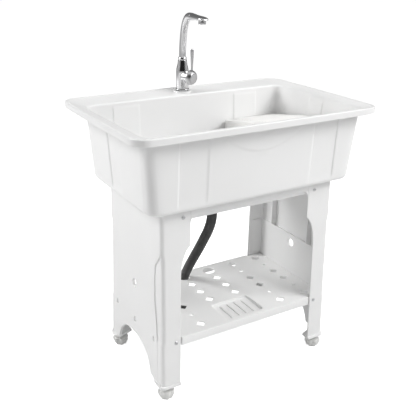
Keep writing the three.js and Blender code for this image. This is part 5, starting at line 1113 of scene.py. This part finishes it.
bar_places = [(x, TRAY_MIDDLE_Y, TRAY_FLOOR) for x in (-40.8, -13.6, 13.6, 40.8)]
shelf_shapes.append(repeated("tray_bars", tray_bar, bar_places, shelf_plastic_lightened_for_shade))
for side in (-1, 1):
    for place in SLOT_PLACES:
        tab = sorted((side * 292, side * 300.35))
        y = BASIN_MIDDLE_Y + place
        shelf_shapes.append(block(tab, (y - 4.4, y + 4.4), (178.6, 194.4), 1.0))
fitted("shelf_moulding", shelf_shapes, shelf_plastic_lightened_for_shade, "stand", ["shelf"])


# ---------- screws ----------
# Eight zinc-plated pan-head screws with a cross recess, one for the rail and one for the shelf in
# each flange.
def cross_head_screw():
    turn = all_turns(64)
    rings = []
    head = [(0.25, 2.6), (0.7, 2.6), (0.95, 2.6), (1.5, 2.6), (2.2, 2.58), (2.9, 2.5), (3.2, 2.45)]
    head += [(4.2, 2.15), (5.2, 1.5), (5.8, 0.8), (6, 0.3), (5.9, 0.0)]
    shank = [(2, 0.0), (2, -12.5), (0.5, -13)]
    for r, rise in head + shank:
        x, y = r * np.cos(turn), r * np.sin(turn)
        rise = np.full(64, rise)
        if r < 4 and rise[0] > 2:
            arm = (np.minimum(np.abs(x), np.abs(y)) < 0.62) & (r < 3)
            rise = rise - 1.5 * arm
        rings.append(np.column_stack([x, -rise - 0.3, y]))
    return skinned(rings)


def metal(name, colour, roughness, brushed=0.0, smudge=0.04):
    """Metal with faint smudges in its gloss, brushed along Z when asked."""
    material = bpy.data.materials.new(name)
    material.use_nodes = True
    tree = material.node_tree
    place = wired(tree, "ShaderNodeTexCoord").outputs["Object"]
    haze = wired(tree, "ShaderNodeTexNoise", {"Vector": place, "Scale": 40, "Detail": 4})
    spread = {
        "Value": haze.outputs["Fac"],
        "To Min": max(0.02, roughness - smudge),
        "To Max": roughness + smudge,
    }
    gloss = wired(tree, "ShaderNodeMapRange", spread)
    surface = {
        "Metallic": 1,
        "Base Color": (*colour, 1),
        "Roughness": gloss.outputs["Result"],
    }
    if brushed:
        stretch = wired(tree, "ShaderNodeMapping", {"Vector": place, "Scale": (900, 900, 30)})
        lines = wired(tree, "ShaderNodeTexNoise", {"Vector": stretch.outputs["Vector"], "Scale": 1})
        relief = {"Height": lines.outputs["Fac"], "Strength": brushed, "Distance": 0.0003}
        surface["Normal"] = wired(tree, "ShaderNodeBump", relief).outputs["Normal"]
    fill(tree, tree.nodes["Principled BSDF"], surface)
    return material


screw_steel = metal("steel", (0.6, 0.6, 0.61), 0.3, brushed=0.15)
screw = cross_head_screw()
screw_shapes = []
for towards, turn in ((-1, (0, 0, 0)), (1, (0, 0, math.pi))):
    places = []
    for x, z in ((229.0, 573.0), (256.0, 187.0)):
        y = BASIN_MIDDLE_Y + towards * stand_half_depth(z)
        places += [(-x, y, z), (x, y, z)]
    screw_shapes.append(repeated(f"screws_{towards}", screw, places, screw_steel, turn))
ends = [f"{end}_{side}" for end in ("front", "rear") for side in ("left", "right")]
screw_nodes = [f"{use}_screw_{end}" for use in ("rail", "shelf") for end in ends]
fitted("pan_head_screws", screw_shapes, screw_steel, "stand", screw_nodes)


# ---------- levelling feet ----------
# A lobed off-white knob under each leg, moulded round a threaded stud that turns in the leg's
# socket, so that the sink can be levelled.
KNOB_LOBES, KNOB_LOBE_DEPTH = 7, 4.5
foot_plastic = moulded("foot_plastic", (0.76, 0.76, 0.745), 0.4)
knob_profile = [(0, 17.8), (0.4, 19.0), (1.4, 19.8), (6, 21.6), (12, 24.1), (16, 25.8)]
knob_profile += [(17.6, 26.3), (18.6, 26.45), (20, 26.35), (23.5, 25.6), (25, 25.0)]
knob_profile += [(25.8, 24.1), (26, 22.8), (26.2, 12), (26.2, 8.5)]
knob_turn = all_turns(98)
scallop = (0.5 - 0.5 * np.cos(KNOB_LOBES * knob_turn)) ** 1.4
knob_rings = []
for z, r in knob_profile:
    deep = KNOB_LOBE_DEPTH * min(1, max(0, (r - 9) / 10)) * r / 26.5
    out = r - deep * scallop
    knob_rings.append(np.column_stack([out * np.cos(knob_turn), out * np.sin(knob_turn), np.full(98, z)]))
stud_profile = [(0, 25), (9, 25), (9, 38.7), (5, 38.7)]
for z in np.arange(39.2, 60.5, 1.5):
    stud_profile += [(4.3, z), (5.0, z + 0.75)]
stud_profile += [(4.3, 60.8), (3.6, 61.8), (0, 61.8)]
foot_shapes = [skinned(knob_rings), turned(stud_profile, sides=40)]
for end in ends:
    towards, side = (-1 if "front" in end else 1), (-1 if "left" in end else 1)
    place = np.array([*foot_place(side, towards), 0])
    shapes = [(np.asarray(points) + place, faces) for points, faces in foot_shapes]
    fitted(f"levelling_foot_{end}", shapes, foot_plastic, f"foot_{end}", [f"foot_{end}"])


# ---------- drain ----------
# A stainless flange and basket in the basin's floor, clamped by a rubber gasket and a lugged
# plastic nut underneath. A tailpiece and a ribbed coupling carry on down to the hose.
DRAIN = (DRAIN_X, BASIN_MIDDLE_Y, 0.0)


def turn_about_z(degrees):
    a = math.radians(degrees)
    return np.array([[math.cos(a), -math.sin(a), 0], [math.sin(a), math.cos(a), 0], [0, 0, 1]])


def all_round(shape, count):
    """Copies of a shape, evenly spaced all round the drain."""
    points, faces = shape
    turns_round = [turn_about_z(360 // count * number) for number in range(count)]
    return [(np.asarray(points) @ turn.T + DRAIN, faces) for turn in turns_round]


flange_profile = [(24, 568.5), (26, 568.5), (26, 602.8), (36, 602.8), (35.4, 604.2)]
flange_profile += [(33.5, 604.8), (30, 604.8), (30, 603.6), (24, 603.6)]
flange = turned(flange_profile, DRAIN, 0.35, 96)
fitted("drain_flange_pressed", [flange], screw_steel, "stand", ["drain_flange"])
gasket = turned(tube(26.3, 33, 594.7, 597.7), DRAIN, 0.5, 72)
fitted("drain_gasket_ring", [gasket], rubber, "stand", ["drain_gasket"])
nut_shapes = [turned(tube(26.3, 34, 582.4, 594.4), DRAIN, 1.0, 72)]
nut_shapes += all_round(block((32, 38), (-4, 4), (582.4, 592.4), 1.0), 6)
fitted("drain_nut_lugged", nut_shapes, stand_plastic, "stand", ["drain_locknut"])
tail_profile = [(12, 542.2), (15, 542.2), (15, 547.2), (29, 560.2)]
tail_profile += [(29, 568.2), (23, 568.2), (23, 563.2), (12, 547.2)]
fitted("drain_tail", [turned(tail_profile, DRAIN, 1.0, 72)], stand_plastic, "stand", ["drain_tailpiece"])
coupling_shapes = [turned(tube(12, 21, 523.9, 541.9), DRAIN, 1.0, 72)]
coupling_shapes += all_round(block((20, 22.4), (-2, 2), (526, 540), 0.8), 8)
fitted("hose_coupling_ribbed", coupling_shapes, stand_plastic, "stand", ["hose_coupling"])
basket_wall = [(19, 583.0), (22.5, 586.2), (22.5, 603.9), (29, 603.9)]
basket_wall += [(29, 605.1), (21.3, 605.1), (21.3, 586.8), (18.6, 584.2)]
basket_shapes = [turned(basket_wall, DRAIN, 0.4, 80)]
knob_wall = [(0, 582.4), (3, 582.4), (3, 601.9), (6, 604.9), (6, 607.9), (4.6, 608.7), (0, 608.9)]
basket_shapes.append(turned(knob_wall, DRAIN, 0.5, 40))
basket_loops = [np.column_stack([20 * np.cos(turns), 20 * np.sin(turns)])]
for number in range(8):
    a = math.radians(45 * number)
    basket_loops.append(round_hole(12 * math.cos(a), 12 * math.sin(a), 2.6, turns[::2]))
basket_sheet = cut_sheet(basket_loops, grid(np.arange(-18, 19, 3.0), np.arange(-18, 19, 3.0)), 0.3)
basket_faces = flat_face(584.0, -1, DRAIN), flat_face(582.6, 1, DRAIN)
basket_shapes.append(both_faces(basket_sheet, *basket_faces))
fitted("strainer_basket_pressed", basket_shapes, screw_steel, "strainer", ["strainer_basket"])


# ---------- tap ----------
# A chromed brass sink mixer: a column with a side housing that ends in a ball, a cap with a
# slender stick that tips and turns over the ball, and a tall swivelling spout with a flat head.
TAP = np.array([0.0, TAP_AXIS_Y, TAP_SEAT])
LEVER_REACH, LEVER_HEIGHT = 32.0, 44.5
mixer_turn = turn_about_z(-70)
lie_along_x = np.array([[0.0, 0, 1], [0, 1, 0], [-1, 0, 0]])
along_lever = mixer_turn @ lie_along_x
PIVOT = TAP + mixer_turn @ np.array([LEVER_REACH, 0, LEVER_HEIGHT])


def arc(radius, start, end, steps):
    """Part of a ball's outline, as (radius, height) pairs between two heights."""
    angles = np.linspace(math.asin(start / radius), math.asin(end / radius), steps)
    return [(radius * math.cos(a), radius * math.sin(a)) for a in angles]


chrome = metal("chrome", (0.74, 0.74, 0.75), 0.08, smudge=0.015)
satin_chrome = metal("chrome", (0.6, 0.6, 0.61), 0.3)
brass = metal("brass", (0.72, 0.56, 0.27), 0.28)
tap_gasket = turned(tube(12.3, 21, 0.3, 1.8), TAP, 0.3, 96)
fitted("tap_gasket_ring", [tap_gasket], rubber, "stand", ["tap_gasket"])
tap_base = turned(tube(12.3, 22, 2.1, 6.1), TAP, 0.9, 128)
fitted("tap_base_turned", [tap_base], chrome, "stand", ["tap_base_ring"])

# threaded shank, washer and hexagon nut under the deck
shank_profile = [(7, 6.1), (12, 6.1), (12, -9)]
for z in np.arange(-10.0, -41.0, -1.5):
    shank_profile += [(11.3, z), (12.0, z - 0.75)]
shank_profile += [(11.2, -41.9), (7, -41.9)]
fitted("tap_shank_threaded", [turned(shank_profile, TAP, 0, 64)], brass, "stand", ["tap_shank"])
tap_washer = turned(tube(12.3, 23, -13.3, -11.3), TAP, 0.3, 72)
fitted("tap_washer", [tap_washer], screw_steel, "stand", ["tap_clamp_washer"])
hexagon = round_corners([(20 * math.cos(a), 20 * math.sin(a)) for a in np.radians(range(0, 360, 60))], 1.0)
nut_loops = [stepped(hexagon, 3.0), round_hole(0, 0, 12.4, turns)]
nut_sheet = cut_sheet(nut_loops, grid([0.0], [0.0]), 0.8)
tap_nut = both_faces(nut_sheet, flat_face(-13.6, -1, TAP), flat_face(-22.6, 1, TAP))
fitted("tap_nut_hexagon", [tap_nut], brass, "stand", ["tap_nut"])

# column and side housing, with the socket for the spout on top
column = [(0, 7), (18.9, 7), (20.1, 7.3), (20.5, 8.4), (20.5, 60), (20.4, 62), (20.1, 66)]
column += [(19.3, 70), (17.6, 77), (15.9, 84), (15.2, 89), (14.7, 94), (14.5, 96.2)]
column += [(13.9, 97), (9.3, 97), (9.3, 81), (0, 81)]
body_shapes = [turned(column, TAP, 0, 144)]
housing = [(0, -30), (18.6, -30), (18.6, -0.5), *arc(18.8, 0.2, 7.4, 12)]
housing += [(17.1, 8), (13.3, 8), (13.3, -12), (0, -12)]
body_shapes.append(turned(housing, PIVOT, 0, 144, turn=along_lever))
fitted("tap_body_polished", body_shapes, chrome, "stand", ["tap_body"], crease=28)
cartridge = [(0, -11.7), (13, -11.7), (13, 7), (7, 7), (7, 8.2), (0, 8.2)]
cartridge = turned(cartridge, PIVOT, 0.3, 64, turn=along_lever)
fitted("tap_cartridge_brass", [cartridge], brass, "stand", ["tap_cartridge"])
stem = [(0, 8.5), (5, 8.5), *[(r, math.sqrt(14.13**2 - r * r)) for r in (5, 4, 3, 2, 1, 0)]]
stem = turned(stem, PIVOT, 0, 48, turn=along_lever)
fitted("lever_stem_domed", [stem], brass, "cartridge_spindle", ["lever_stem"])

# lever: a hollow cap that sits over the ball, and its stick
cap = [(23.2, 1.0), (23.9, 1.5), *arc(24, 2.2, 16.6, 22), (16.2, 17.3), (15.2, 17.43), (0, 17.43)]
cap += [(0, 14.43), (15.4, 14.43), *arc(21.4, 14.0, 1.4, 22), (21.7, 1.0)]
cap = turned(cap, PIVOT, 0, 144, turn=along_lever)
fitted("lever_cap_domed", [cap], satin_chrome, "lever", ["lever_cap"], crease=28)
stick = [(0, 23.9), (3.4, 23.9), (3.45, 30), (3.6, 37), (4.0, 46), (4.5, 54), (5.1, 66)]
stick += [(5.5, 77), (5.6, 84), (5.45, 87), (4.9, 88.9), (3.9, 89.7), (2.5, 89.85), (0, 89.85)]
stick_place = PIVOT + mixer_turn @ np.array([8.0, 0, 0])
stick = turned(stick, stick_place, 0, 72)
fitted("lever_stick_turned", [stick], satin_chrome, "lever", ["lever_stick"], crease=40)

# spout: collar, bent pipe with its spigot, flat head, aerator and its screen
collar = [(9.3, 97.3), (12.7, 97.3), (13.3, 98.0), (13.8, 100.3), (13.6, 102.5)]
collar += [(12.7, 104.6), (11.8, 105.9), (11.0, 106), (10.3, 106)]
collar = turned(collar, TAP, 0.3, 144)
fitted("spout_collar_turned", [collar], chrome, "spout", ["spout_collar"], crease=28)
SPOUT_BENDS = ((0, 102.8), (-0.52, 127), (-4, 159), (-9.5, 189))
SPOUT_BENDS += ((-19, 214), (-36, 232), (-58, 234), (-62, 234))
bend_line = hanging_line([(0, y, z) for y, z in SPOUT_BENDS], 121)[0]
bend_line = bend_line[(bend_line[:, 2] > 108.5) | (bend_line[:, 1] < -5)]
bend_line = bend_line[bend_line[:, 1] > -57.6]
bend_line = np.vstack([[0, 0, 106.4], [0, 0, 108], bend_line, [0, -58, 234]])
count = len(bend_line)
outer_rings = list(rings_along(bend_line + TAP, [11.0] * count, 72))
bore_rings = list(rings_along(bend_line + TAP, [9.5] * count, 72))[::-1]
pipe_shapes = [skinned(outer_rings + bore_rings, closed=True)]
spigot = [(0, 81.3), (9, 81.3), (9, 108), (0, 108)]
pipe_shapes.append(turned(spigot, TAP, 0.4, 72))
fitted("spout_pipe_bent", pipe_shapes, chrome, "spout", ["spout_pipe"], crease=40)

head_line = (
    (0, 10.6, 10.6, 0),
    (0.4, 11, 11, 0),
    (10, 12.4, 9.6, 0),
    (20, 14.0, 7.9, -0.3),
    (30, 14.8, 7.1, -0.6),
    (50, 15.5, 6.5, -1.0),
    (62, 15.2, 6.1, -1.5),
    (69, 14.4, 5.4, -2.0),
    (74, 12.6, 4.4, -2.5),
    (77.5, 10.0, 3.2, -2.9),
    (79.4, 7.2, 2.0, -3.15),
    (80, 4.0, 0.9, -3.2),
)
head_turn = all_turns(72)
stations = np.concatenate([[0, 0.15, 0.4], np.linspace(2, 62, 25), np.linspace(63.5, 80, 23)])
known = np.array(head_line, float)
head_rings = []
for run in stations:
    wide, high, shift = (np.interp(run, known[:, 0], known[:, k]) for k in (1, 2, 3))
    power = between(1, 0.75, min(1, run / 26))
    x = wide * np.sign(np.cos(head_turn)) * np.abs(np.cos(head_turn)) ** power
    z = high * np.sign(np.sin(head_turn)) * np.abs(np.sin(head_turn)) ** power
    head_rings.append(np.column_stack([x, np.full(72, -58.3 - run), 234 + shift + z]) + TAP)
fitted("spout_head_flat", [skinned(head_rings)], chrome, "spout", ["spout_head"], crease=40)
OUTLET = TAP + np.array([0.0, -118.0, 0.0])
aerator = [(9.1, 217), (10.5, 217), (11.2, 217.4), (11.5, 218.3), (11.5, 226), (9.1, 226)]
fitted("aerator_ring", [turned(aerator, OUTLET, 0.2, 96)], chrome, "spout", ["aerator"])
screen_loops = [np.column_stack([8.8 * np.cos(turns), 8.8 * np.sin(turns)])]
for ring_reach, ring_count in ((2.6, 6), (5.4, 12)):
    for number in range(ring_count):
        a = 2 * math.pi * number / ring_count
        hole_x, hole_y = ring_reach * math.cos(a), ring_reach * math.sin(a)
        screen_loops.append(round_hole(hole_x, hole_y, 0.8, turns[::4]))
screen_sheet = cut_sheet(screen_loops, grid(np.arange(-8, 8.1, 2.0), np.arange(-8, 8.1, 2.0)), 0.2)
screen = both_faces(screen_sheet, flat_face(221.0, -1, OUTLET), flat_face(218.0, 1, OUTLET))
screen_plastic = moulded("stand_plastic", (0.05, 0.05, 0.055), 0.5)
fitted("aerator_screen_pierced", [screen], screen_plastic, "spout", ["aerator_screen"])
